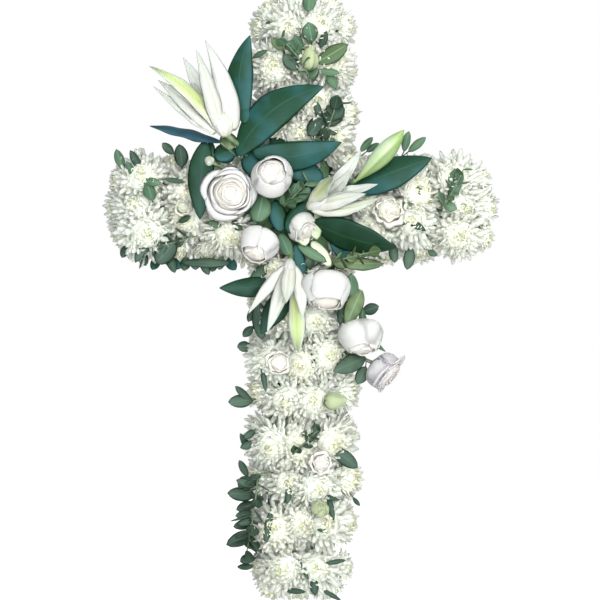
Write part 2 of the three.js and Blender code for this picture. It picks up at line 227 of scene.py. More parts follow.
class Finish(Wiring):
    """A material being wired up round its Principled shader."""

    def __init__(self, name, roughness, **values):
        self.material = bpy.data.materials.new(name)
        self.material.use_nodes = True
        super().__init__(self.material.node_tree)
        self.shader = self.tree.nodes["Principled BSDF"]
        self.give(Roughness=roughness, **values)

    def give(self, **values):
        """Sets or links inputs of the Principled shader."""
        self.fill(self.shader, {socket.replace("_", " "): value for socket, value in values.items()})

    def ramp(self, factor, *stops):
        """A colour ramp through (place, colour) stops."""
        made = self.put("ValToRGB", {"Fac": factor})
        elements = made.color_ramp.elements
        while len(elements) < len(stops):
            elements.new(0.5)
        for element, (place, colour) in zip(elements, stops):
            element.position = place
            element.color = rgba(colour)
        return made

    def mix(self, share, first, second, blend="MIX"):
        colours = {0: share, 6: rgba(first), 7: rgba(second)}
        return self.put("Mix", colours, data_type="RGBA", blend_type=blend).outputs[2]

    def attribute(self, name, output="Fac"):
        return self.put("Attribute", attribute_name=name).outputs[output]

    def sheet_map(self):
        """The across and along values, 0 to 1, of a petal's or leaf's own map."""
        apart = self.put("SeparateXYZ", {0: self.put("UVMap", uv_map=SHEET_MAP)})
        return apart.outputs["X"], apart.outputs["Y"]

    def off_middle(self, across):
        return self.calc("ABSOLUTE", self.calc("SUBTRACT", across, 0.5))

    def place(self):
        return self.put("TexCoord").outputs["Object"]

    def grain(self, scale, detail=3.0, roughness=0.5):
        """Cloudy noise on object coordinates, in metres."""
        noise = {"Vector": self.place(), "Scale": scale, "Detail": detail, "Roughness": roughness}
        return self.put("TexNoise", noise).outputs["Fac"]

    def stripes(self, across, along, stretch, **waves):
        """Fine ridges that run along a petal."""
        waves["Vector"] = self.vector(across, self.times(along, stretch), 0.0)
        return self.put("TexWave", waves, wave_type="BANDS", bands_direction="X").outputs["Fac"]

    def bump(self, height, strength, distance):
        return self.put("Bump", {"Height": height, "Strength": strength, "Distance": distance})

    def let_light_through(self, colour, share):
        """Mixes in a translucent shader, so that light from behind a petal reaches its front."""
        thin = self.put("BsdfTranslucent", {"Color": colour})
        both = self.put("MixShader", {0: share, 1: self.shader, 2: thin})
        self.fill(self.tree.nodes["Material Output"], {"Surface": both})


# %% Petal finishes
# How deep light spreads in the thick petals and in the thin ones, in metres
DEEP_GLOW = {"Subsurface_Weight": 0.6, "Subsurface_Scale": 0.012}
THIN_GLOW = {"Subsurface_Weight": 0.3, "Subsurface_Scale": 0.006}
CREAM_LIGHT = (1.0, 1.0, 0.8)
ROSY_LIGHT = (1.0, 0.85, 0.7)


def make_mum_petal():
    petal = Finish("mum_petal", 0.6, Subsurface_Radius=CREAM_LIGHT, **DEEP_GLOW)
    across, along = petal.sheet_map()
    tone = petal.attribute("tone")
    # Both ramps run paler towards the petal's base. The cream there is the petals' own colour; the extra
    # lightness is painted light against the shade deep in the head.
    outer = petal.ramp(
        along, (0.0, (0.985, 0.99, 0.87)), (0.35, (0.975, 0.985, 0.905)), (1.0, (0.94, 0.955, 0.895)))
    cream = petal.ramp(
        along, (0.0, (0.97, 0.98, 0.70)), (0.6, (0.95, 0.955, 0.76)), (1.0, (0.91, 0.915, 0.75)))
    blush_start = petal.calc("MULTIPLY_ADD", tone, -0.25, 0.72)
    blush = petal.times(petal.calc("SUBTRACT", petal.attribute("heart"), blush_start), 4.0)
    blended = petal.mix(petal.put("Clamp", {0: blush}), outer, cream)
    warmth = petal.mix(tone, (0.96, 1.0, 1.0), (1.0, 0.99, 0.955))
    colour = petal.mix(1.0, blended, warmth, "MULTIPLY")
    petal.let_light_through(colour, 0.55)
    ribbed = petal.bump(petal.stripes(across, along, 0.1, Scale=1.1, Distortion=0.4), 0.15, 0.0003)
    dome = petal.attribute("dome", "Vector")
    softer = petal.put("Mix", {0: 0.62, 4: ribbed, 5: dome}, data_type="VECTOR").outputs[1]
    petal.give(Base_Color=colour, Normal=softer)
    return petal.material


def make_rose_petal():
    petal = Finish("rose_petal", 0.6, Subsurface_Radius=ROSY_LIGHT, **DEEP_GLOW)
    across, along = petal.sheet_map()
    outer = petal.ramp(
        along, (0.0, (0.47, 0.52, 0.36)), (0.25, (0.53, 0.53, 0.50)), (1.0, (0.545, 0.535, 0.52)))
    inner = petal.ramp(
        along, (0.0, (0.80, 0.72, 0.55)), (0.6, (0.76, 0.69, 0.58)), (1.0, (0.66, 0.62, 0.565)))
    colour = petal.mix(petal.attribute("heart"), outer, inner)
    colour = petal.mix(petal.attribute("tint"), colour, (0.34, 0.39, 0.22))
    # Painted shade: greys the petals of a rose that sits in shade, most of all the one at the lower tip.
    colour = petal.mix(petal.attribute("shade"), colour, (0.34, 0.32, 0.35))
    colour = petal.mix(1.0, colour, petal.ramp(petal.grain(60.0), (0.3, 0.97), (0.7, 1.0)), "MULTIPLY")
    petal.let_light_through(colour, 0.45)
    veins = petal.stripes(across, along, 0.3, Scale=5.0, Distortion=1.2, Detail=2.0)
    petal.give(Base_Color=colour, Normal=petal.bump(veins, 0.12, 0.0004))
    return petal.material


def make_lily_petal():
    petal = Finish("lily_petal", 0.42, Subsurface_Radius=CREAM_LIGHT, **THIN_GLOW)
    across, along = petal.sheet_map()
    middle = petal.off_middle(across)
    white = petal.ramp(along, (0.0, (0.36, 0.39, 0.27)), (0.12, (0.42, 0.40, 0.37)),
                       (0.60, (0.38, 0.39, 0.38)), (1.0, (0.29, 0.32, 0.30)))
    leafy = petal.ramp(along, (0.15, (0.36, 0.39, 0.28)), (0.4, (0.28, 0.34, 0.12)),
                       (0.8, (0.20, 0.27, 0.08)), (1.0, (0.05, 0.08, 0.025)))
    # Painted shade darkens each petal towards its edges.
    shaded_edges = petal.mix(petal.ramp(middle, (0.16, 0.0), (0.50, 0.9)), white, (0.24, 0.265, 0.25))
    thin = petal.ramp(middle, (0.0, 1.0), (0.05, 0.5), (0.14, 0.0))
    ribbed = petal.mix(petal.times(thin, 0.6), shaded_edges, (0.25, 0.29, 0.21))
    broad = petal.ramp(middle, (0.0, 1.0), (0.26, 0.75), (0.46, 0.0))
    colour = petal.mix(petal.times(broad, petal.attribute("green")), ribbed, leafy)
    petal.let_light_through(colour, 0.20)
    ridges = petal.stripes(across, along, 0.2, Scale=3.4, Distortion=0.6)
    petal.give(Base_Color=colour, Normal=petal.bump(ridges, 0.45, 0.0008))
    return petal.material


def make_bud_green():
    bud = Finish("bud_green", 0.42, Subsurface_Weight=0.15, Subsurface_Scale=0.004)
    _, along = bud.sheet_map()
    apart = bud.put("SeparateXYZ", {0: bud.place()}).outputs
    # Across the bud, by place: the paler upper left side is painted light, the dark streak below the middle
    # is painted shade, and the lower edge lightens a little again.
    side = bud.calc("MULTIPLY_ADD", bud.calc("SUBTRACT", apart["X"], apart["Z"]), 38.0, -1.18)
    greens = bud.ramp(side, (0.0, (0.19, 0.25, 0.16)), (0.45, (0.16, 0.215, 0.095)),
                      (0.62, (0.070, 0.115, 0.034)), (1.0, (0.11, 0.165, 0.06)))
    ends = bud.ramp(along, (0.0, 1.0), (0.2, 0.0), (0.72, 0.0), (0.92, 0.9))
    bud.give(Base_Color=bud.mix(ends, greens, (0.10, 0.17, 0.04)),
             Normal=bud.bump(bud.grain(300.0), 0.1, 0.0004))
    return bud.material


mum_petal = make_mum_petal()
rose_petal = make_rose_petal()
lily_petal = make_lily_petal()
bud_green = make_bud_green()
print("petal finishes:", [finish.name for finish in (mum_petal, rose_petal, lily_petal, bud_green)])

# %% Leaf, stem, foam and tray finishes
LEAF_SHEEN = (0.55, 0.82, 1.0, 1.0)
# Dark, light and rib colours, roughness, how closely the veins stand and, on one kind, a pale rim. On the
# dark and blue kinds the light colour is bluish, and there its random patches are painted sheen.
LEAF_COLOURS = {
    "dark": ((0.004, 0.020, 0.007), (0.008, 0.038, 0.036), (0.009, 0.034, 0.018), 0.50, 90.0),
    # A darker copy of the dark leaf: painted shade for the leaves that lie under the lilies and the crossing.
    "deep": ((0.003, 0.014, 0.004), (0.005, 0.021, 0.009), (0.008, 0.028, 0.011), 0.50, 90.0),
    "blue": ((0.005, 0.018, 0.020), (0.009, 0.030, 0.048), (0.010, 0.034, 0.030), 0.50, 90.0),
    "sprig": ((0.024, 0.050, 0.026), (0.048, 0.088, 0.048), (0.08, 0.13, 0.075), 0.55, 60.0,
              (0.10, 0.15, 0.09)),
    "dusky": ((0.014, 0.027, 0.016), (0.030, 0.050, 0.032), (0.045, 0.07, 0.045), 0.55, 60.0),
    "olive": ((0.038, 0.062, 0.027), (0.080, 0.110, 0.052), (0.12, 0.155, 0.08), 0.55, 70.0),
    "pale": ((0.20, 0.24, 0.15), (0.30, 0.33, 0.24), (0.36, 0.39, 0.29), 0.5, 70.0),
    "mum": ((0.040, 0.070, 0.034), (0.080, 0.125, 0.060), (0.12, 0.17, 0.10), 0.6, 50.0),
}


def make_leaf(kind, dark, light, rib_colour, roughness, veins_across, rim=None):
    """A leaf with a pale midrib, side veins that fan out from it and, if wanted, a pale rim."""
    leaf = Finish(kind + "_leaf", roughness, Specular_Tint=LEAF_SHEEN, Specular_IOR_Level=0.16)
    across, along = leaf.sheet_map()
    middle = leaf.off_middle(across)
    slant = leaf.calc("SUBTRACT", along, leaf.times(middle, 0.5))
    veins = leaf.calc("SINE", leaf.times(slant, veins_across))
    # Random patches of the light colour; where it is bluish they are painted sheen.
    base = leaf.mix(leaf.ramp(leaf.grain(22.0, 2.0), (0.42, 0.0), (0.64, 1.0)), dark, light)
    veined = leaf.mix(leaf.times(leaf.ramp(veins, (0.86, 0.0), (1.0, 0.4)), 0.5), base, light)
    rib = leaf.ramp(middle, (0.0, 0.9), (0.02, 0.5), (0.04, 0.0))
    colour = leaf.mix(rib, veined, rib_colour)
    if rim:
        colour = leaf.mix(leaf.ramp(middle, (0.38, 0.0), (0.48, 0.8)), colour, rim)
    relief = leaf.plus(leaf.times(veins, 0.15), rib)
    leaf.give(Base_Color=colour, Normal=leaf.bump(relief, 0.25, 0.0005))
    return leaf.material


def make_stem():
    stem = Finish("green_stem", 0.5)
    greens = stem.ramp(stem.grain(220.0), (0.3, (0.025, 0.05, 0.02)), (0.7, (0.055, 0.09, 0.035)))
    stem.give(Base_Color=greens)
    return stem.material


def make_foam():
    foam = Finish("wet_foam", 0.9)
    fine = foam.grain(900.0, 2.0)
    tone = foam.mix(foam.grain(30.0), (0.025, 0.065, 0.028), (0.05, 0.115, 0.05))
    foam.give(Base_Color=foam.mix(fine, tone, (0.07, 0.15, 0.07)), Normal=foam.bump(fine, 0.6, 0.001))
    return foam.material


def make_tray():
    tray = Finish("tray_plastic", 0.45)
    scuffs = tray.grain(240.0, 5.0, 0.7)
    tone = tray.mix(tray.grain(12.0), (0.020, 0.060, 0.030), (0.032, 0.085, 0.045))
    tray.give(Base_Color=tone, Roughness=tray.ramp(scuffs, (0.35, 0.36), (0.7, 0.62)),
              Normal=tray.bump(scuffs, 0.15, 0.0004))
    return tray.material


leaf_finishes = {kind: make_leaf(kind, *values) for kind, values in LEAF_COLOURS.items()}
mum_leaf = leaf_finishes.pop("mum")
green_stem = make_stem()
for name, finish in (("tray", make_tray()), ("foam", make_foam())):
    for material_slot in frame["nodes"][name].material_slots:
        material_slot.material = finish
print("materials:", len(bpy.data.materials))

# %% [markdown]
# ## Thin sheets
# Petals and leaves are all thin closed sheets. One helper takes a grid of points for the middle of the
# sheet and gives it an upper and a lower face that meet along the edge, so that the mesh is closed and
# the edge is as fine as a real one. It also writes the sheet's own map, which the finishes read.

# %% Sheet helpers
MERGE = 1e-6
LEAF_THICKNESS = 0.0008


def unit(vector):
    vector = np.asarray(vector, dtype=float)
    return vector / max(np.linalg.norm(vector), 1e-12)


def squares(number):
    """The corners of every square in a grid of point numbers."""
    corners = (number[:-1, :-1], number[:-1, 1:], number[1:, 1:], number[1:, :-1])
    return np.stack([corner.ravel() for corner in corners], axis=1)


def closed_sheet(grid, thickness):
    """Points, faces and map values of a closed sheet round a grid of points (along, across, xyz)."""
    along, across, _ = grid.shape
    normal = np.cross(np.gradient(grid, axis=1), np.gradient(grid, axis=0))
    normal /= np.maximum(np.linalg.norm(normal, axis=2, keepdims=True), 1e-12)
    inside = np.zeros((along, across), bool)
    inside[1:-1, 1:-1] = True
    rise = normal * thickness * 0.5 * inside[:, :, None]
    upper = np.arange(along * across).reshape(along, across)
    lower = upper.copy()
    lower[inside] = along * across + np.arange(inside.sum())
    u, v = np.meshgrid(np.linspace(0, 1, across), np.linspace(0, 1, along))
    maps = np.stack([u, v], axis=2)
    points = np.concatenate([(grid + rise).reshape(-1, 3), (grid - rise)[inside]])
    faces = np.concatenate([squares(upper), squares(lower)[:, [0, 3, 2, 1]]])
    return points, faces, np.concatenate([maps.reshape(-1, 2), maps[inside]])


class Stack:
    """Gathers sheets and tubes for one mesh, each with its material and attribute values."""

    def __init__(self, *materials):
        self.materials = materials
        self.parts = []

    def sheet(self, grid, thickness, material, **values):
        self.parts.append((*closed_sheet(grid, thickness), material, values))

    def tube(self, path, radii, sides, material, **values):
        """A closed tube along a path, its ends drawn to a point. It gives the points, to reshape."""
        path = np.asarray(path, dtype=float)
        steps = len(path)
        heading = np.gradient(path, axis=0)
        start = unit(np.cross(heading[0], [0.3, 0.2, 0.9]))
        turn = np.linspace(0, 2 * math.pi, sides, endpoint=False)
        rings = [path[:1]]
        for place, way, radius in zip(path, heading, radii):
            way = unit(way)
            side = unit(start - way * np.dot(start, way))
            other = np.cross(way, side)
            rings.append(place + radius * (np.outer(np.cos(turn), side) + np.outer(np.sin(turn), other)))
        points = np.concatenate(rings + [path[-1:]])
        number = 1 + np.arange(steps * sides).reshape(steps, sides)
        number = np.concatenate([number, number[:, :1]], axis=1)
        first, last = np.zeros(sides, int), np.full(sides, steps * sides + 1)
        starts = np.stack([first, number[0, 1:], number[0, :-1], number[0, :-1]], axis=1)
        ends = np.stack([number[-1, :-1], number[-1, 1:], last, last], axis=1)
        faces = np.concatenate([squares(number), np.stack([starts, ends], axis=1).reshape(-1, 4)])
        maps = np.zeros((len(points), 2))
        maps[1:-1, 0] = np.tile(np.linspace(0, 1, sides), steps)
        maps[1:-1, 1] = np.repeat(np.linspace(0, 1, steps), sides)
        maps[-1, 1] = 1.0
        self.parts.append((points, faces, maps, material, values))
        return points

    def piece(self, name, collection=None):
        """The gathered parts as one smooth object, its doubled points merged and its faces outwards."""
        points, faces, maps, finishes, values = zip(*self.parts)
        sizes = [len(part) for part in points]
        starts = np.cumsum([0] + sizes[:-1])
        numbered = np.concatenate([part + start for part, start in zip(faces, starts)]).tolist()
        mesh = bpy.data.meshes.new(name)
        mesh.from_pydata(np.concatenate(points).tolist(), [], [tuple(dict.fromkeys(f)) for f in numbered])
        loops = np.zeros(len(mesh.loops), dtype=np.int32)
        mesh.loops.foreach_get("vertex_index", loops)
        mesh.uv_layers.new(name=SHEET_MAP).data.foreach_set("uv", np.concatenate(maps)[loops].ravel())
        slots = [self.materials.index(finish) for finish, part in zip(finishes, faces) for _ in part]
        mesh.polygons.foreach_set("material_index", slots)
        mesh.polygons.foreach_set("use_smooth", [True] * len(slots))
        for label in dict.fromkeys(label for given in values for label in given):
            spread = [np.full(size, float(given.get(label, 0.0))) for size, given in zip(sizes, values)]
            layer = mesh.attributes.new(label, "FLOAT", "POINT")
            layer.data.foreach_set("value", np.concatenate(spread))
        for material in self.materials:
            mesh.materials.append(material)
        work = bmesh.new()
        work.from_mesh(mesh)
        bmesh.ops.remove_doubles(work, verts=work.verts, dist=MERGE)
        bmesh.ops.dissolve_degenerate(work, dist=1e-9, edges=work.edges)
        bmesh.ops.recalc_face_normals(work, faces=work.faces)
        work.to_mesh(mesh)
        work.free()
        return add_object(name, mesh, collection)


def bent_path(start, middle, end, steps):
    """Points along a smooth curve from start to end that is pulled towards middle."""
    share = np.linspace(0, 1, steps)[:, None]
    return (1 - share) ** 2 * start + 2 * share * (1 - share) * middle + share ** 2 * end


def fullness(share, fullest):
    """A swell from 0 to 1 and back along a petal or leaf, with its top where it is fullest."""
    return np.maximum(np.sin(math.pi * share ** (math.log(0.5) / math.log(fullest))), 0.0)


def blade(start, end, front, width, bow=0.0, cup=0.0, fullest=0.45, blunt=1.0, wave=0.0, sway=0.0,
          steps=22, across=9):
    """A grid for a leaf. Front is the way its upper face looks, and fullest is where it is widest."""
    start, end = np.asarray(start), np.asarray(end)
    ahead = unit(end - start)
    side = unit(np.cross(ahead, front))
    face = np.cross(side, ahead)
    path = bent_path(start, (start + end) / 2 + face * bow + side * sway, end, steps)
    share = np.linspace(0, 1, steps)[:, None]
    spread = fullness(share, fullest) ** blunt
    u = np.linspace(-1, 1, across)[None, :]
    grid = path[:, None, :] + side * (u * spread * width / 2)[:, :, None]
    ripple = wave * np.sin(share * 17.0 + u * 1.4) * np.abs(u) ** 1.5 * spread
    return grid + face * (cup * u ** 2 * spread + ripple)[:, :, None]


def finish_piece(piece, node_name):
    """Rides a piece on the body and hides the CAD node that it stands for, if there is one."""
    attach(piece, "root")
    if node_name:
        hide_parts(node_name)


# %% [markdown]
# ## Chrysanthemum heads
# A spray chrysanthemum has well over a hundred narrow petals. They sit on a spiral: each new petal is
# turned by the golden angle, the young ones in the heart are short and upright, and the oldest lie out
# flat. That is a rule, so Geometry Nodes lay the petals. Four petals that bend and twist differently
# are modelled, and each place on the spiral takes one of them at random.

# %% The petals, a small leaf and the heart
PETAL_LENGTH = 0.036
PETAL_WIDTH = 0.0078
PETAL_THICKNESS = 0.0007
# How far in mm the middle stands out and the tip hooks in, then the twist at the tip
PETAL_KINDS = [(4.0, 4.0, 0.0), (2.0, -2.5, 0.5), (5.0, 8.0, -0.4), (3.0, 1.0, 0.25)]
HEART_HEIGHTS = (-0.010, -0.006, 0.0, 0.006, 0.011, 0.0135, 0.0145)
HEART_RADII = (0.014, 0.020, 0.0235, 0.0215, 0.0165, 0.011, 0.004)


def add_collection(name):
    made = bpy.data.collections.new(name)
    bpy.context.scene.collection.children.link(made)
    return made


def make_single_petal(number, belly, hook, twist):
    """A channelled strap with a blunt tip that grows along +Z with its inner face towards -X."""
    share = np.array([0.0, 0.28, 0.60, 0.88, 1.0])[:, None]
    half = PETAL_WIDTH / 2 * np.array([0.50, 0.80, 1.0, 0.86, 0.30])[:, None]
    u = np.array([-1.0, 0.0, 1.0])[None, :]
    bend = 0.001 * (belly * np.sin(share * math.pi * 0.85) - hook * share ** 3)
    channel = 0.0015 * u ** 2 * np.sin(math.pi * (0.15 + 0.7 * share))
    turn = twist * share
    grid = np.zeros((5, 3, 3))
    grid[:, :, 0] = bend - channel * np.cos(turn) + half * u * np.sin(turn)
    grid[:, :, 1] = half * u * np.cos(turn)
    grid[:, :, 2] = share * PETAL_LENGTH
    stack = Stack(mum_petal)
    stack.sheet(grid, PETAL_THICKNESS, mum_petal)
    return stack.piece(f"single_petal_{number}", petal_kinds)


def make_single_leaf(name, finish, thickness, tip, front, width, **shape):
    """One small leaf that grows from the origin to its tip, in metres."""
    stack = Stack(finish)
    stack.sheet(blade(np.zeros(3), tip, front, width, **shape), thickness, finish)
    return stack.piece(name, single_parts)


petal_kinds = add_collection("petal_kinds")
single_parts = add_collection("single_parts")
for number, kind in enumerate(PETAL_KINDS):
    single_petal = make_single_petal(number, *kind)
single_leaf = make_single_leaf("single_leaf", mum_leaf, 0.0006, (0.006, 0.0, 0.034), (-1, 0, 0.2), 0.020,
                               cup=0.003, fullest=0.6, steps=6, across=5)
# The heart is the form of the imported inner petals, which the outer parts of the petals stand out of
heart_stack = Stack(mum_petal)
heart_stack.tube([(0, 0, height) for height in HEART_HEIGHTS], HEART_RADII, 16, mum_petal, heart=0.62)
single_heart = heart_stack.piece("single_heart", single_parts)
print("one petal:", len(single_petal.data.polygons), "faces")

# %% Helpers for Geometry Nodes


class Growth(Wiring):
    """A Geometry Nodes tree with named inputs."""

    def __init__(self, name, **sockets):
        super().__init__(bpy.data.node_groups.new(name, "GeometryNodeTree"), "GeometryNode")
        for way in ("INPUT", "OUTPUT"):
            self.tree.interface.new_socket("Geometry", in_out=way, socket_type="NodeSocketGeometry")
        for label, kind in sockets.items():
            self.tree.interface.new_socket(label, in_out="INPUT", socket_type="NodeSocket" + kind)
        self.given = self.put("NodeGroupInput").outputs

    def chance(self, low, high, seed):
        """A random number for each thing that the tree lays."""
        return self.put("FunctionNodeRandomValue", {2: low, 3: high, "Seed": seed}).outputs[1]

    def euler(self, x, y, z):
        return self.put("FunctionNodeEulerToRotation", {0: self.vector(x, y, z)})

    def turned(self, direction, local):
        """A rotation that takes +Z to a direction, after a turn of its own."""
        aimed = self.put("FunctionNodeAlignRotationToVector", {"Vector": direction}, axis="Z")
        both = {"Rotation": aimed, "Rotate By": local}
        return self.put("FunctionNodeRotateRotation", both, rotation_space="LOCAL")

    def lay(self, points, thing, rotation, scale, **picked):
        """Sets an instance on each point."""
        return self.put("InstanceOnPoints", {
            "Points": points, "Instance": thing, "Rotation": rotation, "Scale": self.vector(*scale)} | picked)

    def lay_one_of(self, kinds, which, points, rotation, scale):
        """Sets one of a collection's objects on each point."""
        apart = {"Collection": kinds, "Separate Children": True, "Reset Children": True}
        picked = {"Pick Instance": True, "Instance Index": which}
        return self.lay(points, self.put("CollectionInfo", apart), rotation, scale, **picked)

    def shape_of(self, thing):
        return self.put("ObjectInfo", {"Object": thing}).outputs["Geometry"]

    def read(self, name, kind="FLOAT"):
        return self.put("InputNamedAttribute", {"Name": name}, data_type=kind)

    def write(self, geometry, name, value, domain="INSTANCE", kind="FLOAT"):
        stored = {"Geometry": geometry, "Name": name, "Value": value}
        return self.put("StoreNamedAttribute", stored, domain=domain, data_type=kind)

    def colour(self, geometry, material, **where):
        return self.put("SetMaterial", {"Geometry": geometry, "Material": material, **where})

    def real(self, geometry):
        return self.put("SetShadeSmooth", {0: self.put("RealizeInstances", {0: geometry})})

    def done(self, result):
        self.put("NodeGroupOutput", {0: result})
        return self.tree


def grown(name, mesh, tree, collection=None, **values):
    """Runs a tree on a mesh and gives the result as an object with a plain mesh."""
    base = add_object(name + "_base", mesh)
    modifier = base.modifiers.new("grow", "NODES")
    modifier.node_group = tree
    for item in tree.interface.items_tree:
        if item.name in values:
            modifier[item.identifier] = values[item.name]
    graph = bpy.context.evaluated_depsgraph_get()
    made = bpy.data.meshes.new_from_object(base.evaluated_get(graph), depsgraph=graph)
    made.name = name
    bpy.data.objects.remove(base)
    return add_object(name, made, collection)


# %% The tree that lays one head
GOLDEN_ANGLE = math.pi * (3 - math.sqrt(5))
SPIRAL_RADIUS = 0.0095
SPIRAL_DROP = -0.007
COLLAR_PLACE = (0.0, 0.0, -0.012)
COLLAR_TURN = 2.4
HEAD_LEAVES = 3
# Petals, then how they tilt at the heart and at the rim
HEAD_KINDS = [(172, -0.30, 1.72), (162, -0.40, 1.55), (178, -0.20, 1.85), (148, -0.45, 1.35),
              (168, -0.25, 1.64)]


def make_head_tree():
    head = Growth("chrysanthemum_head", Petals="Int", Leaves="Int", HeartTilt="Float", RimTilt="Float",
                  Seed="Int", Kinds="Collection", Leaf="Object", Heart="Object")
    given = head.given
    seed, seed_two, seed_three, seed_four = (head.plus(given["Seed"], step) for step in (0, 11, 23, 37))
    index = head.put("InputIndex")
    share = head.calc("DIVIDE", index, given["Petals"])
    turn = head.times(index, GOLDEN_ANGLE)
    base = head.times(head.calc("SQRT", share), SPIRAL_RADIUS)
    place = head.vector(head.times(head.calc("COSINE", turn), base),
                        head.times(head.calc("SINE", turn), base), head.times(share, SPIRAL_DROP))
    span = head.calc("SUBTRACT", given["RimTilt"], given["HeartTilt"])
    lean = head.calc("MULTIPLY_ADD", head.calc("POWER", share, 0.72), span, given["HeartTilt"])
    tilt = head.plus(lean, head.chance(-0.26, 0.26, seed))
    long = head.times(head.calc("MULTIPLY_ADD", head.calc("POWER", share, 0.75), 0.48, 0.50),
                      head.chance(0.78, 1.12, seed_two))
    wide = head.calc("MULTIPLY_ADD", head.calc("SQRT", share), 0.34, 0.70)
    spin = head.plus(turn, head.chance(-0.22, 0.22, seed_two))
    which = head.calc("FLOOR", head.chance(0.0, len(PETAL_KINDS) - 0.001, seed_four))
    spiral = head.put("Points", {"Count": given["Petals"], "Position": place})
    standing = head.euler(head.chance(-0.14, 0.14, seed_three), tilt, spin)
    petals = head.lay_one_of(given["Kinds"], which, spiral, standing, (wide, wide, long))
    petals = head.write(petals, "heart", head.calc("SUBTRACT", 1.0, share))
    leaf_turn = head.plus(head.times(index, COLLAR_TURN), head.chance(-0.3, 0.3, seed_two))
    collar = head.lay(head.put("Points", {"Count": given["Leaves"], "Position": COLLAR_PLACE}),
                      head.shape_of(given["Leaf"]),
                      head.euler(0.0, head.chance(1.35, 1.75, seed_three), leaf_turn),
                      (1.0, 1.0, head.chance(0.85, 1.15, seed)))
    joined = head.put("JoinGeometry", {0: [collar, head.shape_of(given["Heart"]), petals]})
    return head.done(head.real(joined))


head_tree = make_head_tree()
head_kinds = add_collection("head_kinds")
for number, (petals, heart_tilt, rim_tilt) in enumerate(HEAD_KINDS):
    head = grown(f"head_kind_{number}", bpy.data.meshes.new("seed"), head_tree, head_kinds, Petals=petals,
                 HeartTilt=heart_tilt, RimTilt=rim_tilt, Seed=number + 1, Leaves=HEAD_LEAVES,
                 Kinds=petal_kinds, Leaf=single_leaf, Heart=single_heart)
print("one head:", len(head.data.polygons), "faces,", [m.name for m in head.data.materials])

# %% [markdown]
# ## Massing the cross
# The florist covers each arm in staggered rows, three heads then two, and sets a further row round the
# edge that leans outwards and hides the foam's sides. The same rule lays the heads here, from the same
# sizes as the construction model, so each spray fills the room of the node that it stands for.

# %% Rows of heads
FOAM_LOW, FOAM_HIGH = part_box("foam")
FACE_Y = FOAM_LOW[1] - 0.0003
HALF_WIDTH = 0.043
TRAY_WALL = 0.0024
HEAD_RADIUS = 0.039
ROW_PITCH, ROW_START, ROW_ACROSS = 0.062, 0.104, 0.035
EDGE_PITCH, EDGE_START, EDGE_DEPTH, EDGE_TILT = 0.066, 0.066, 0.031, 0.5
END_STEP, END_MARGIN, EDGE_MARGIN = 0.036, 0.018, 0.020
CORNER_SIZE = 0.78
HEADS_IN_SPRAY = 5
HIDDEN_UNDER_ROSE = 0.027
GOLDEN = 0.6180339887
# Which way each arm runs, across and up, and how long it is
ARMS = {
    "top": ((0, 1), FOAM_HIGH[2]),
    "left": ((-1, 0), FOAM_HIGH[0]),
    "right": ((1, 0), FOAM_HIGH[0]),
    "lower": ((0, -1), -FOAM_LOW[2]),
}
ROSE_MIDDLES = [(-0.106, 0.019), (-0.043, 0.042), (-0.062, -0.058), (0.033, -0.122), (0.086, -0.188),
                (0.117, -0.240)]


def scatter(index, turn):
    """An even scatter in -0.5 to 0.5 that is the same on every run."""
    return math.fmod(index * GOLDEN * (turn + 1) + 0.37 * turn, 1.0) - 0.5


def on_arm(along, run, step, y):
    x, z = along
    return np.array((x * run - z * step, y, z * run + x * step))


def face_heads(along, length):
    """Feet, facings and sizes of the heads on an arm's front, in rows of three and two."""
    span = length - END_MARGIN - ROW_START
    rows = nearest(span / ROW_PITCH) + 1
    made = []
    for row in range(rows):
        for step in ((-0.5, 0.5) if row % 2 else (-1, 0, 1)):
            index = len(made)
            run = ROW_START + row * span / (rows - 1) + 0.012 * scatter(index, 1)
            across = step * ROW_ACROSS + 0.008 * scatter(index, 2)
            lean = on_arm(along, 0.5 * scatter(index, 3), 0.35 * step + 0.4 * scatter(index, 4), -1)
            size = HEAD_RADIUS * (1 + 0.16 * scatter(index, 5))
            made.append((on_arm(along, run, across, FACE_Y), unit(lean), size))
    return made


def edge_heads(along, length):
    """The heads that lean out round an arm's edge, from one inner corner round the end to the other."""
    half = HALF_WIDTH + TRAY_WALL
    straight = math.ceil((length - EDGE_START - EDGE_MARGIN) / EDGE_PITCH)
    pitch = (length - EDGE_START - EDGE_MARGIN) / straight
    runs = [EDGE_START + 0.008 + i * pitch for i in range(straight + 1)]
    places = [(run, half, 0, 1) for run in runs]
    places += [(length + TRAY_WALL, share * END_STEP, 1, share * 0.4) for share in (1, 0, -1)]
    places += [(run, -half, 0, -1) for run in reversed(runs)]
    made = []
    for index, (run, step, ahead, aside) in enumerate(places):
        depth = -EDGE_DEPTH + 0.008 * scatter(index, 2)
        foot = on_arm(along, run + ahead * 0.0015, step + aside * 0.0015, depth)
        facing = on_arm(along, ahead, aside + 0.25 * scatter(index, 3), -EDGE_TILT)
        at_corner = run > length - EDGE_MARGIN and step != 0
        size = HEAD_RADIUS * (1 + 0.08 * scatter(index, 4)) * (CORNER_SIZE if at_corner else 1)
        made.append((foot, unit(facing), size))
    return made


def beside_roses(head):
    foot = head[0]
    return all(math.hypot(foot[0] - x, foot[2] - z) > HIDDEN_UNDER_ROSE for x, z in ROSE_MIDDLES)


def nearest(value):
    return int(math.floor(value + 0.5))


def sprays_of(row, name):
    """Shares a row of heads out among sprays of about the same number."""
    count = nearest(len(row) / HEADS_IN_SPRAY)
    each = len(row) / count
    return {f"{name}_{i + 1}": row[nearest(i * each):nearest((i + 1) * each)] for i in range(count)}


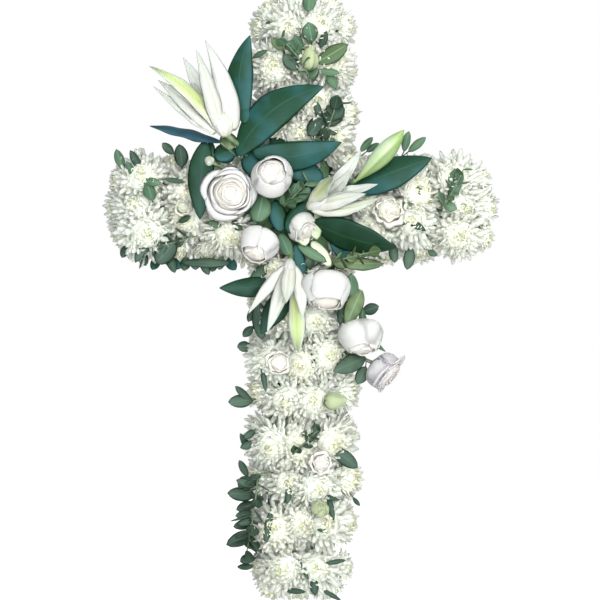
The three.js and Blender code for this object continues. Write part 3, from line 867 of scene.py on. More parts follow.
sprays = {}
for arm_name, (along, length) in ARMS.items():
    sprays.update(sprays_of([h for h in face_heads(along, length) if beside_roses(h)], f"mums_{arm_name}"))
    sprays.update(sprays_of(edge_heads(along, length), f"mums_{arm_name}_edge"))
print("sprays:", len(sprays), "heads:", sum(len(row) for row in sprays.values()))

# %% Sprays of heads
HEAD_RISE = 0.015
FULLER_RIGHT = 0.008
# Heads on the face spread a little wider than those that lean out round the edge
FACE_SPREAD = 0.94
EDGE_SPREAD = 0.84
FACES_FRONT = -0.7
BACK_ROOM = -0.003
BACK_SQUEEZE = 0.15


def make_spray_tree():
    """Sets a head on each point, and keeps the way from a head's middle to each petal as its dome."""
    spray = Growth("chrysanthemum_spray", Heads="Collection", Petal="Material", Leaf="Material")
    size = spray.read("size")
    turned = spray.turned(spray.read("facing", "FLOAT_VECTOR"), spray.euler(0.0, 0.0, spray.read("spin")))
    heads = spray.lay_one_of(spray.given["Heads"], spray.read("kind", "INT"), spray.given["Geometry"], turned,
                             (size, size, size))
    position = spray.put("InputPosition")
    heads = spray.write(heads, "dome", position, kind="FLOAT_VECTOR")
    real = spray.put("RealizeInstances", {0: heads})
    ends = {0: position, 1: spray.read("dome", "FLOAT_VECTOR")}
    outward = spray.put("ShaderNodeVectorMath", ends, operation="SUBTRACT")
    straight = spray.put("ShaderNodeVectorMath", {0: outward}, operation="NORMALIZE")
    domed = spray.write(real, "dome", straight, "POINT", "FLOAT_VECTOR")
    is_leaf = spray.calc("LESS_THAN", spray.read("heart"), 0.0001)
    petals = spray.colour(domed, spray.given["Petal"])
    return spray.done(spray.colour(petals, spray.given["Leaf"], Selection=is_leaf))


def press_flat(piece):
    """Flattens what would reach behind the tray, because the cross hangs or lies against its back."""
    places = np.zeros(len(piece.data.vertices) * 3)
    piece.data.vertices.foreach_get("co", places)
    depths = places[1::3]
    places[1::3] = np.where(depths > BACK_ROOM, BACK_ROOM + (depths - BACK_ROOM) * BACK_SQUEEZE, depths)
    piece.data.vertices.foreach_set("co", places)
    piece.data.update()


def make_spray(name, row):
    """One spray: a point for each head, with the values that the tree reads there."""
    count = range(len(row))
    feet, facings, sizes = zip(*row)
    rises = [HEAD_RISE + FULLER_RIGHT * facings[i][0] + 0.008 * scatter(i, 8) for i in count]
    spreads = [FACE_SPREAD if facing[1] < FACES_FRONT else EDGE_SPREAD for facing in facings]
    base = bpy.data.meshes.new(name + "_points")
    base.from_pydata([tuple(feet[i] + facings[i] * rises[i]) for i in count], [], [])
    for label, kind, values in (
            ("facing", "FLOAT_VECTOR", np.concatenate(facings)),
            ("size", "FLOAT", [sizes[i] / PETAL_LENGTH * spreads[i] for i in count]),
            ("spin", "FLOAT", [6.28 * scatter(i, 6) for i in count]),
            ("tone", "FLOAT", [0.5 + scatter(i, 7) for i in count]),
            ("kind", "INT", [(i * 3 + len(name)) % len(HEAD_KINDS) for i in count])):
        layer = base.attributes.new(label, kind, "POINT")
        layer.data.foreach_set("vector" if kind == "FLOAT_VECTOR" else "value", values)
    piece = grown("petals_" + name, base, spray_tree, Heads=head_kinds, Petal=mum_petal, Leaf=mum_leaf)
    press_flat(piece)
    finish_piece(piece, name)
    return piece


spray_tree = make_spray_tree()
spray_pieces = [make_spray(name, row) for name, row in sprays.items()]
print("spray faces:", sum(len(piece.data.polygons) for piece in spray_pieces))

# %% [markdown]
# ## Roses
# A rose is a spiral of broad petals. The outer ones are as tall as the inner and wrap round them, so
# from the side a rose is a smooth ball and only its mouth shows the scroll. Each petal is a sheet on a
# swelling cup with a belly, a narrower mouth and a lip that rolls back, and a rose is a list of rings.

# %% One rose petal


def smooth_through(points, share):
    """Reads a smooth curve that runs through evenly spaced points, at shares from 0 to 1."""
    points = np.asarray(points, dtype=float)
    place = np.clip(share, 0, 1) * (len(points) - 1)
    first = np.minimum(place.astype(int), len(points) - 2)
    t = (place - first)[..., None]
    ends = np.concatenate([2 * points[:1] - points[1:2], points, 2 * points[-1:] - points[-2:-1]])
    a, b, c, d = (ends[first + step] for step in range(4))
    square = (2 * a - 5 * b + 4 * c - d) * t ** 2
    cube = (3 * b - a - 3 * c + d) * t ** 3
    return 0.5 * (2 * b + (c - a) * t + square + cube)


def around(angle, out, up):
    """Points at an angle round the upright axis, a distance out from it and a height."""
    return np.stack([np.cos(angle) * out, np.sin(angle) * out, up], axis=2)


def cup_petal(turn, reach, belly, mouth, height, lip, skew, ruffle, phase, steps=15, across=17):
    """A petal on a cup. Reach is its half angle, and skew lifts one side over the petal beside it."""
    v = np.linspace(0, 1, steps)[:, None]
    u = np.linspace(-1, 1, across)[None, :]
    outline = np.sqrt(1 - 0.998 * np.abs(u) ** 3.4)
    wall = [(belly * 0.12, 0.0), (belly * 0.80, height * 0.16), (belly, height * 0.40),
            (mouth + (belly - mouth) * 0.74, height * 0.68), (mouth + (belly - mouth) * 0.28, height * 0.90),
            (mouth, height)]
    rise = v * (0.42 + 0.58 * outline)
    standing = smooth_through(wall, rise)
    lobe = 1 + 0.10 * v ** 2 * np.cos(math.pi * u)
    roll = np.clip((v - 0.64) / 0.36, 0, 1) * (0.45 + 0.55 * outline)
    ripple = ruffle * v ** 3
    out = standing[:, :, 0] * lobe + lip * roll ** 1.5 + skew * u * rise + ripple * np.sin(u * 8.0 + phase)
    up = standing[:, :, 1] - lip * 0.85 * roll ** 2.4 + ripple * 0.7 * np.cos(u * 6.0 + phase)
    return around(turn + u * reach * (0.30 + 0.70 * np.sqrt(v)), out, up)


def scroll(radius, height, turns=1.7, steps=8, across=36):
    """The tight heart, a sheet wound inwards."""
    v = np.linspace(0, 1, steps)[:, None]
    u = np.linspace(0, 1, across)[None, :]
    angle = u * turns * 2 * math.pi
    out = radius * (1.0 - 0.84 * u) * (0.55 + 0.45 * np.sin(v * math.pi * 0.55))
    return around(angle, out, height * v * (0.93 + 0.07 * np.cos(angle * 1.5)))


def placed(grid, base, facing):
    """Turns a grid that grows along +Z so that it grows from base along facing."""
    turn = np.array(Vector((0, 0, 1)).rotation_difference(Vector(facing)).to_matrix())
    return grid @ turn.T + base


# %% One rose
# Rings from the heart out: petals, half angle, belly, mouth, height, lip and warmth, as shares of the radius
CLOSED_ROSE = [
    (3, 1.30, 0.34, 0.08, 1.54, 0.05, 1.0), (3, 1.32, 0.50, 0.17, 1.57, 0.09, 0.85),
    (3, 1.36, 0.68, 0.28, 1.56, 0.13, 0.5), (3, 1.30, 0.86, 0.42, 1.52, 0.18, 0.2),
    (4, 1.15, 1.00, 0.60, 1.42, 0.24, 0.04),
]
OPEN_ROSE = [
    (3, 1.30, 0.24, 0.08, 1.46, 0.05, 1.0), (3, 1.34, 0.40, 0.18, 1.48, 0.09, 0.9),
    (3, 1.36, 0.56, 0.30, 1.44, 0.14, 0.6), (3, 1.30, 0.72, 0.46, 1.34, 0.21, 0.35),
    (4, 1.15, 0.86, 0.64, 1.18, 0.28, 0.10), (5, 1.05, 0.95, 0.80, 1.00, 0.34, 0.02),
]
TIGHT_ROSE = [
    (3, 1.30, 0.34, 0.06, 1.50, 0.04, 1.0), (3, 1.32, 0.52, 0.13, 1.55, 0.06, 0.85),
    (3, 1.36, 0.72, 0.22, 1.58, 0.08, 0.5), (3, 1.36, 0.90, 0.34, 1.57, 0.11, 0.15),
    (4, 1.22, 1.00, 0.50, 1.49, 0.14, 0.03),
]
LOOSE_ROSE = CLOSED_ROSE[:4] + [
    (4, 1.10, 0.96, 0.80, 1.50, 0.20, 0.08), (3, 1.05, 1.00, 0.98, 1.36, 0.22, 0.0),
]
SPRAY_ROSE = [
    (3, 1.30, 0.30, 0.12, 1.22, 0.11, 1.0), (4, 1.20, 0.48, 0.30, 1.24, 0.15, 0.9),
    (4, 1.20, 0.66, 0.50, 1.18, 0.19, 0.6), (5, 1.00, 0.84, 0.72, 1.02, 0.24, 0.25),
]
SHUT_BUD = [
    (3, 1.30, 0.50, 0.08, 1.50, 0.02, 0.9), (3, 1.34, 0.76, 0.20, 1.46, 0.05, 0.5),
    (4, 1.25, 1.00, 0.36, 1.34, 0.09, 0.1),
]
BED_DEPTH = 0.07
SCROLL_THICKNESS = 0.0009
ROSE_THICKNESS = 0.0012
SEPALS = 5


def rose_bed(rings):
    """Heights and widths of the form inside a rose, which ends just under the rims."""
    _, _, belly, mouth, height, _, _ = rings[-1]
    profile = [(0.02, belly * 0.12), (height * 0.16, belly * 0.66), (height * 0.40, belly * 0.86),
               (height * 0.66, (mouth + (belly - mouth) * 0.74) * 0.88)]
    for _, _, _, mouth, height, _, _ in reversed(rings):
        profile.append((max(height - BED_DEPTH, profile[-1][0] + 0.012), mouth * 0.90))
    return np.array(profile).T


def add_stalk(stack, foot, base, end, radii, steps, sides=8, pull=0.0):
    """A stalk from a foot on the foam, given across and up in mm, that bends past base to its end."""
    root = np.array((foot[0] * 0.001, FACE_Y, foot[1] * 0.001))
    path = bent_path(root, (root + base) / 2 + pull, end, steps)
    stack.tube(path, np.linspace(*radii, steps), sides, green_stem)


def make_rose(name, middle, facing, radius, foot, rings, seed, tall=1.0, ruffle=0.015, **look):
    """A rose of rings of petals on a green stem. It stands for the node of its name, where there is one."""
    facing = unit(facing)
    base = np.asarray(middle) - facing * radius * 0.80 * tall
    sepal_finish = leaf_finishes["sprig"]
    stack = Stack(rose_petal, green_stem, sepal_finish)
    heights, widths = rose_bed(rings)
    bed_path = base + facing * heights[:, None] * radius * tall
    stack.tube(bed_path, radius * widths, 24, rose_petal, heart=0.6, **look)
    heart = scroll(radius * 0.16, radius * 1.46 * tall * rings[0][4] / 1.5)
    stack.sheet(placed(heart, base, facing), SCROLL_THICKNESS, rose_petal, heart=1.0, **look)
    for ring, (count, reach, belly, mouth, height, lip, warmth) in enumerate(rings):
        for k in range(count):
            index = seed * 31 + ring * 7 + k
            turn = 2 * math.pi * (k + 0.5 * (ring % 2)) / count + 0.6 * scatter(index, 1) + ring * 0.7
            size = radius * (1 + 0.11 * scatter(index, 5))
            grid = cup_petal(turn, reach * (1 + 0.14 * scatter(index, 6)), size * belly,
                             size * mouth * (1 + 0.16 * scatter(index, 4)),
                             size * height * tall * (1 + 0.09 * scatter(index, 2)),
                             size * lip * (1 + 1.1 * scatter(index, 3)), size * 0.035,
                             size * ruffle, 6 * scatter(index, 7))
            grid[:, :, :2] += size * 0.10 * scatter(index, 8) * np.array((math.cos(turn), math.sin(turn)))
            stack.sheet(placed(grid, base, facing), ROSE_THICKNESS, rose_petal, heart=warmth, **look)
    for k in range(SEPALS):
        turn = 2 * math.pi * k / SEPALS + seed
        out = np.array((math.cos(turn), math.sin(turn), 0.0)) * radius
        start = out * 0.10 - np.array((0, 0, radius * 0.03))
        tip = out * 0.92 + np.array((0, 0, radius * 0.42))
        sepal = blade(start, tip, (0, 0, -1), radius * 0.26, bow=radius * 0.16, fullest=0.35,
                      steps=8, across=5)
        stack.sheet(placed(sepal, base, facing), LEAF_THICKNESS, sepal_finish)
    add_stalk(stack, foot, base, base + facing * radius * 0.12, (0.0024, 0.0028), 9,
              pull=np.array((0, -0.006, 0)))
    piece = stack.piece("petals_" + name)
    finish_piece(piece, name if name in frame["nodes"] else None)
    print(name, len(piece.data.polygons), "faces")


# %% The six large roses
# Middle, facing, radius, foot in mm, rings and how much painted shade greys the petals
ROSES = {
    "rose_left": (seen(230, 193, -118), (0.10, -1, -0.06), 0.0335, (-70, 10), OPEN_ROSE, 0.1),
    "rose_upper": (seen(272, 176, -128), (-0.03, -0.94, 0.30), 0.0300, (-35, 30), TIGHT_ROSE, 0.0),
    "rose_middle": (seen(259, 245, -124), (-0.42, -0.45, -0.75), 0.0292, (-40, -32), TIGHT_ROSE, 0.1),
    "rose_lower": (seen(326, 290, -124), (0.0, -0.34, -0.94), 0.0345, (20, -95), TIGHT_ROSE, 0.0),
    "rose_right": (seen(361, 337, -112), (0.12, -0.34, -0.94), 0.0325, (32, -150), TIGHT_ROSE, 0.0),
    "rose_tip": (seen(383, 371, -98), (0.66, -0.30, -0.60), 0.0250, (32, -200), LOOSE_ROSE, 0.55),
}
for seed, (name, (*shape, shade)) in enumerate(ROSES.items()):
    make_rose(name, *shape, seed, shade=shade)

# %% The small spray roses and buds
# Middle, facing, radius, foot in mm, rings, how tall, how green and how ruffled
SMALL_ROSES = {
    "bud_top": (seen(310, 57, -106), (0.02, -0.25, 1), 0.0125, (12, 196), SHUT_BUD, 1.9, 1.0, 0.01),
    "small_rose_left": (
        seen(183, 207, -104), (0.1, -1, 0.2), 0.0125, (-170, -5), SPRAY_ROSE, 1.0, 0.5, 0.05),
    "small_rose_right": (
        seen(388, 210, -106), (0, -1, 0.45), 0.0250, (122, -12), SPRAY_ROSE, 0.8, 0.2, 0.09),
    "small_rose_shaft": (
        seen(279, 363, -106), (-0.1, -1, 0.1), 0.0190, (-30, -230), SPRAY_ROSE, 1.0, 0.1, 0.05),
    "bud_shaft": (seen(336, 401, -104), (1, -0.25, 0.1), 0.0130, (31, -290), SHUT_BUD, 1.6, 1.0, 0.01),
    "small_rose_low": (
        seen(321, 463, -106), (0.1, -1, -0.2), 0.0165, (26, -374), SPRAY_ROSE, 1.0, 0.0, 0.07),
    "extra_bud_shaft": (seen(321, 508, -104), (0.1, -1, 0.5), 0.0120, (30, -440), SHUT_BUD, 1.0, 1.0, 0.01),
    "extra_bud_crossing": (
        seen(209, 160, -112), (-0.4, -1, 0.6), 0.0070, (-60, 30), SHUT_BUD, 1.1, 0.5, 0.01),
    "extra_rose_crossing": (
        seen(304, 228, -100), (0.5, -0.7, -0.5), 0.0230, (10, -30), CLOSED_ROSE, 0.9, 0.1, 0.04),
}
for seed, (name, (*shape, tall, tint, ruffle)) in enumerate(SMALL_ROSES.items(), start=9):
    make_rose(name, *shape, seed, tall=tall, tint=tint, ruffle=ruffle)

# %% [markdown]
# ## Lilies
# A lily's six petals leave a narrow trumpet and sweep to points. Where each tip lies gives the flower
# its pose, so the tips are the sizes, and each petal is a trough from the trumpet to its tip. The green
# number says how strongly a petal shows the green rib of its outer face.

# %% Lilies
# Base, foot in mm, the bulb's middle and radius, then the petals: where each leaves the base, its middle
# and its tip in the picture, the depth of the middle and tip in mm, its width in mm, where along it is
# fullest, how much it is cupped in mm, and its green.
LILIES = {
    "lily_upper_left": (seen(226, 137, -108), (-26, 56), seen(223, 122, -110), 0.0150, [
        (222, 131, 202, 92, 183, 57, -116, -122, 24, 0.46, 5, 0.05),
        (215, 133, 188, 115, 153, 86, -112, -116, 15, 0.45, 3, 0.15),
        (217, 132, 192, 106, 158, 80, -116, -122, 24, 0.48, -4, 0.10),
        (219, 130, 195, 91, 149, 66, -140, -150, 22, 0.50, -5, 1.0),
        (231, 131, 228, 88, 205, 40, -130, -138, 29, 0.40, -9, 0.05),
        (222, 132, 212, 92, 196, 49, -146, -178, 23, 0.44, -7, 0.08),
    ]),
    "lily_centre": (seen(307, 207, -112), (10, -8), seen(322, 201, -118), 0.0125, [
        (322, 197, 343, 178, 361, 150, -124, -132, 20, 0.52, 4, 0.05),
        (320, 199, 350, 192, 378, 184, -132, -146, 16, 0.50, 3, 0.10),
        (312, 205, 338, 199, 366, 194, -142, -160, 24, 0.42, -4, 0.12),
        (311, 207, 345, 211, 379, 198, -140, -158, 19, 0.44, -5, 0.30),
        (309, 205, 321, 188, 334, 178, -150, -190, 24, 0.55, -6, 0.75),
        (324, 200, 340, 186, 350, 170, -136, -150, 15, 0.55, 4, 0.10),
    ]),
    "lily_lower": (seen(290, 259, -108), (-8, -60), seen(289, 274, -112), 0.0110, [
        (288, 266, 270, 283, 248, 314, -122, -132, 17, 0.46, -4, 0.05),
        (295, 268, 296, 312, 298, 352, -124, -132, 25, 0.66, -5, 1.0),
        (293, 265, 302, 290, 302, 319, -136, -146, 19, 0.48, -4, 0.08),
        (289, 266, 280, 299, 267, 332, -140, -152, 20, 0.48, -5, 0.08),
        (290, 264, 288, 285, 286, 303, -148, -172, 19, 0.45, -4, 0.10),
        (286, 266, 262, 292, 256, 304, -118, -122, 12, 0.50, 3, 0.10),
    ]),
}
LILY_THICKNESS = 0.0013
STAMENS = 6
STAMEN_RING = 0.008


def lily_petal_grid(path, front, width, fullest, cup, across=13):
    """A petal along a path. A negative cup bends its edges back, as on the outside of a bell."""
    share = np.linspace(0, 1, len(path))[:, None]
    heading = np.gradient(path, axis=0)
    side = np.array([unit(np.cross(way, front)) for way in heading])
    face = np.array([unit(np.cross(across_way, way)) for across_way, way in zip(side, heading)])
    spread = fullness(share, fullest) ** 0.85
    spread = (spread + 0.56 * (1 - share) ** 1.5) / 1.12
    u = np.linspace(-1, 1, across)[None, :]
    grid = path[:, None, :] + side[:, None, :] * (u * spread * width / 2)[:, :, None]
    rib = 0.0010 * np.exp(-(u / 0.14) ** 2) * spread
    ripple = 0.0014 * np.sin(share * 19.0 + u * 1.7) * u ** 2 * spread
    lift = cup * u ** 2 * spread * (1 - 0.5 * share) - rib + ripple
    return grid + face[:, None, :] * lift[:, :, None]


def make_lily(name, base, foot, bulb, bulb_radius, petals):
    stack = Stack(lily_petal, green_stem, bud_green)
    tips = []
    for x1, y1, x2, y2, x3, y3, middle_depth, tip_depth, width, fullest, cup, green in petals:
        start = seen(x1, y1, base[1] * 1000 - 4)
        middle = seen(x2, y2, middle_depth)
        tips.append(seen(x3, y3, tip_depth))
        path = bent_path(start, middle * 1.35 - (start + tips[-1]) * 0.175, tips[-1], 26)
        front = unit((0.5 * scatter(len(tips), 3), -1, 0.3))
        grid = lily_petal_grid(path, front, width * 0.001, fullest, cup * 0.001)
        stack.sheet(grid, LILY_THICKNESS, lily_petal, green=green)
    share = np.linspace(0, 1, 12)
    bulb_radii = bulb_radius * np.sin(math.pi * np.clip(share * 0.86 + 0.05, 0, 1)) ** 0.6
    stack.tube(base + (bulb - base) * 1.7 * share[:, None], bulb_radii, 20, lily_petal)
    axis = unit(bulb - base)
    side = unit(np.cross(axis, (0.2, 0.1, 1.0)))
    other = np.cross(axis, side)
    for turn in 2 * math.pi * np.arange(STAMENS) / STAMENS:
        ring = (side * math.cos(turn) + other * math.sin(turn)) * STAMEN_RING
        tip = base + (sum(tips) / len(tips) - base) * 0.72 + ring
        stack.tube(bent_path(base, bulb, tip, 8), np.linspace(0.0010, 0.0006, 8), 6, lily_petal, green=0.6)
    add_stalk(stack, foot, base, base + axis * 0.004, (0.0030, 0.0046), 10, pull=axis * -0.012)
    piece = stack.piece("petals_" + name)
    finish_piece(piece, name)
    print(name, len(piece.data.polygons), "faces")


for name, shape in LILIES.items():
    make_lily(name, *shape)

# %% [markdown]
# ## Lily bud
# A closed bud is a long pointed form with three flat seams where the outer petals meet. A tube with a
# swelling radius makes it, and three shallow grooves are pressed along it, because the seams catch the
# light on the real one.

# %% Lily bud
BUD_BASE = seen(353, 183, -116)
BUD_TIP = seen(404, 130, -140)
BUD_WIDTH = 0.030
BUD_STEPS, BUD_SIDES = 30, 24
GROOVE_DEPTH, GROOVE_WIDTH = 0.10, 0.16


def make_bud(name, base, tip, foot):
    stack = Stack(bud_green, green_stem)
    share = np.linspace(0, 1, BUD_STEPS)
    path = bent_path(base, (base + tip) / 2 + np.array((0.003, -0.006, -0.004)), tip, BUD_STEPS)
    radii = BUD_WIDTH / 2 * np.sin(math.pi * share ** 1.35) ** 0.8 * (1 - 0.10 * share)
    points = stack.tube(path, np.maximum(radii, 0.0006), BUD_SIDES, bud_green)
    turn = np.linspace(0, 2 * math.pi, BUD_SIDES, endpoint=False)
    off_seam = (np.mod(turn, 2 * math.pi / 3) - math.pi / 3) / GROOVE_WIDTH
    press = 1 - GROOVE_DEPTH * np.exp(-off_seam ** 2)
    rings = points[1:-1].reshape(BUD_STEPS, BUD_SIDES, 3)
    middles = path[:, None, :]
    rings[:] = middles + (rings - middles) * press[None, :, None]
    add_stalk(stack, foot, base, base + (tip - base) * 0.05, (0.0026, 0.0034), 8)
    piece = stack.piece(name + "_closed")
    finish_piece(piece, name)
    print(name, len(piece.data.polygons), "faces")


make_bud("lily_bud", BUD_BASE, BUD_TIP, (40, 14))

# %% [markdown]
# ## Large leaves
# The big evergreen leaves fan out round the lilies and give the white flowers their dark ground. Each
# is a blade folded slightly along its rib, with a gentle wave along the edge and a short stalk.

# %% Large leaves
# Stalk end and tip as across, down and depth, then width, bow and sway in mm, the foot, how it faces and,
# where it isn't dark, its finish
LEAVES = {
    "leaf_upper": ((236, 156, -100), (324, 86, -138), 56, 10, -36, (-32, 66), (0.1, -1, 0.35)),
    "leaf_across": ((252, 152, -108), (342, 142, -124), 44, 8, 26, (-14, 68), (0, -1, -0.25)),
    # The leaves under the lilies and the crossing take the darker copy of the dark finish, which paints their
    # shade.
    "leaf_below_lily": ((312, 222, -104), (396, 248, -124), 56, 10, 7, (26, -12), (0.15, -1, -0.9), "deep"),
    "leaf_right": ((348, 190, -100), (432, 158, -124), 50, 10, 0, (44, 18), (0, -1, 0.3)),
    "leaf_far_left": ((222, 142, -100), (149, 126, -124), 26, 6, 5, (-48, 33), (0, -0.7, 0.8), "blue"),
    "leaf_hanging": ((205, 140, -104), (200, 220, -122), 38, 8, 5, (-100, 31), (0.1, -1, 0), "deep"),
    "leaf_top_left": ((244, 120, -100), (250, 35, -106), 40, 6, -22, (-31, 120), (-0.3, -1, 0.1)),
    "leaf_lower_left": ((280, 284, -90), (219, 288, -104), 30, 6, -4, (-31, -100), (0, -1, 0.1), "deep"),
    "leaf_under_lily": ((292, 290, -98), (261, 334, -112), 34, 6, 6, (-20, -120), (0, -1, 0.1), "deep"),
    "leaf_round_rose": ((362, 306, -90), (386, 352, -104), 16, 4, 22, (32, -130), (0.2, -1, 0.2), "sprig"),
    "leaf_under_rose": ((366, 357, -92), (333, 372, -106), 26, 6, 0, (32, -212), (0, -1, 0.1), "dusky"),
    "leaf_beside_rose": ((362, 290, -92), (346, 326, -106), 26, 6, 2, (32, -86), (0, -1, 0.1), "olive"),
}
LARGE_LEAF_THICKNESS = 0.0010


def make_large_leaf(name, start, end, width, bow, sway, foot, front, kind="dark"):
    finish = leaf_finishes[kind]
    stack = Stack(finish, green_stem)
    start, end = seen(*start), seen(*end)
    grid = blade(start, end, front, width * 0.001, bow=bow * 0.001, cup=-0.0045, fullest=0.44,
                 blunt=0.8, wave=0.0012, steps=30, across=13, sway=sway * 0.001)
    stack.sheet(grid, LARGE_LEAF_THICKNESS, finish)
    add_stalk(stack, foot, start, start + (end - start) * 0.04, (0.0021, 0.0015), 8, sides=6)
    finish_piece(stack.piece("blade_" + name), name)


for name, shape in LEAVES.items():
    make_large_leaf(name, *shape)
print("large leaves:", len(LEAVES))

# %% [markdown]
# ## Sprigs
# Small round leaves climb a thin stem in turn, each a golden angle on from the last. That repeats along
# a path, so Geometry Nodes set the leaves, and every sprig is the same tree on another stem.

# %% Sprigs
# Foot in mm, then where the visible part starts and ends in the picture, leaf count, size and finish
SPRIGS = {
    "sprig_top": ((16, 150), (308, 74), (282, 40), 9, 0.80, "sprig"),
    "sprig_upper": ((31, 70), (320, 148), (336, 104), 9, 0.95, "dusky"),
    "sprig_centre": ((-14, 20), (284, 206), (308, 182), 10, 0.75, "sprig"),
    "sprig_centre_right": ((30, -60), (334, 262), (374, 252), 9, 0.85, "olive"),
    "sprig_left_under": ((-120, -30), (184, 240), (145, 253), 10, 0.90, "dusky"),
    "sprig_right_tip": ((200, 16), (444, 206), (463, 170), 9, 0.72, "sprig"),
    "sprig_shaft_left": ((-32, -390), (258, 474), (247, 550), 16, 1.12, "dusky"),
    "sprig_shaft": ((4, -340), (293, 454), (318, 430), 8, 0.62, "dusky"),
}
BARE_STEPS = 4
BARE_SHARE = 0.05
# Depths of the start and end of the visible part in mm, at the cross's left edge and on its face
EDGE_DEPTHS = (-78, -84)
FACE_DEPTHS = (-104, -112)


def make_sprig_tree():
    sprig = Growth("leafy_sprig", Count="Int", First="Float", Seed="Int", Size="Float", Leaf="Object",
                   Finish="Material")
    given = sprig.given
    line = sprig.put("MeshToCurve", {"Mesh": given["Geometry"]})
    trimmed = sprig.put("TrimCurve", {"Curve": line, 2: given["First"]})
    spaced = sprig.put("ResampleCurve", {"Curve": trimmed, "Count": given["Count"]})
    seed, seed_two, seed_three = (sprig.plus(given["Seed"], step) for step in (0, 5, 9))
    turn = sprig.calc("MULTIPLY_ADD", sprig.put("InputIndex"), GOLDEN_ANGLE, sprig.chance(-0.4, 0.4, seed))
    local = sprig.euler(0.0, sprig.chance(0.6, 1.15, seed_two), turn)
    size = sprig.times(sprig.chance(0.7, 1.15, seed_three), given["Size"])
    leaves = sprig.lay(spaced, sprig.shape_of(given["Leaf"]), sprig.turned(sprig.put("InputTangent"), local),
                       (size, size, size))
    return sprig.done(sprig.colour(sprig.real(leaves), given["Finish"]))


def joined(name, objects):
    """Joins objects into the first one and gives it a name."""
    with bpy.context.temp_override(active_object=objects[0], selected_editable_objects=objects):
        bpy.ops.object.join()
    objects[0].name = name
    return objects[0]


def make_sprig(name, foot, near, far, count, size, kind, seed):
    root = np.array((foot[0] * 0.001, FACE_Y, foot[1] * 0.001))
    near_depth, far_depth = EDGE_DEPTHS if "left" in name else FACE_DEPTHS
    start = seen(*near, near_depth)
    end = seen(*far, far_depth)
    path = np.concatenate([bent_path(root, (root + start) / 2, start, 6)[:-1],
                           bent_path(start, (start + end) / 2 + np.array((0.004, -0.003, 0.004)), end, 9)])
    leafy = path[BARE_STEPS:]
    base = bpy.data.meshes.new(name + "_path")
    base.from_pydata(leafy.tolist(), [(i, i + 1) for i in range(len(leafy) - 1)], [])
    leaves = grown("leaves_" + name, base, sprig_tree, Count=count, First=BARE_SHARE, Seed=seed, Size=size,
                   Leaf=single_round_leaf, Finish=leaf_finishes[kind])
    stack = Stack(green_stem)
    stack.tube(path, np.linspace(0.0018, 0.0009, len(path)), 6, green_stem)
    finish_piece(joined("leaves_" + name, [leaves, stack.piece(name + "_stem")]), name)


single_round_leaf = make_single_leaf(
    "single_round_leaf", leaf_finishes["sprig"], LEAF_THICKNESS, (0.003, 0.0, 0.028), (-1, 0, 0.1), 0.019,
    bow=0.003, cup=-0.002, fullest=0.5, blunt=0.7, steps=12, across=7)
sprig_tree = make_sprig_tree()
for seed, (name, shape) in enumerate(SPRIGS.items()):
    make_sprig(name, *shape, seed)
print("sprigs:", len(SPRIGS))

# %% [markdown]
# ## Single leaves between the flowers
# More small leaves lie between the heads and stick out at the sides. Each is one short blade, given by
# where its stalk end and tip are in the picture, its width and its finish.

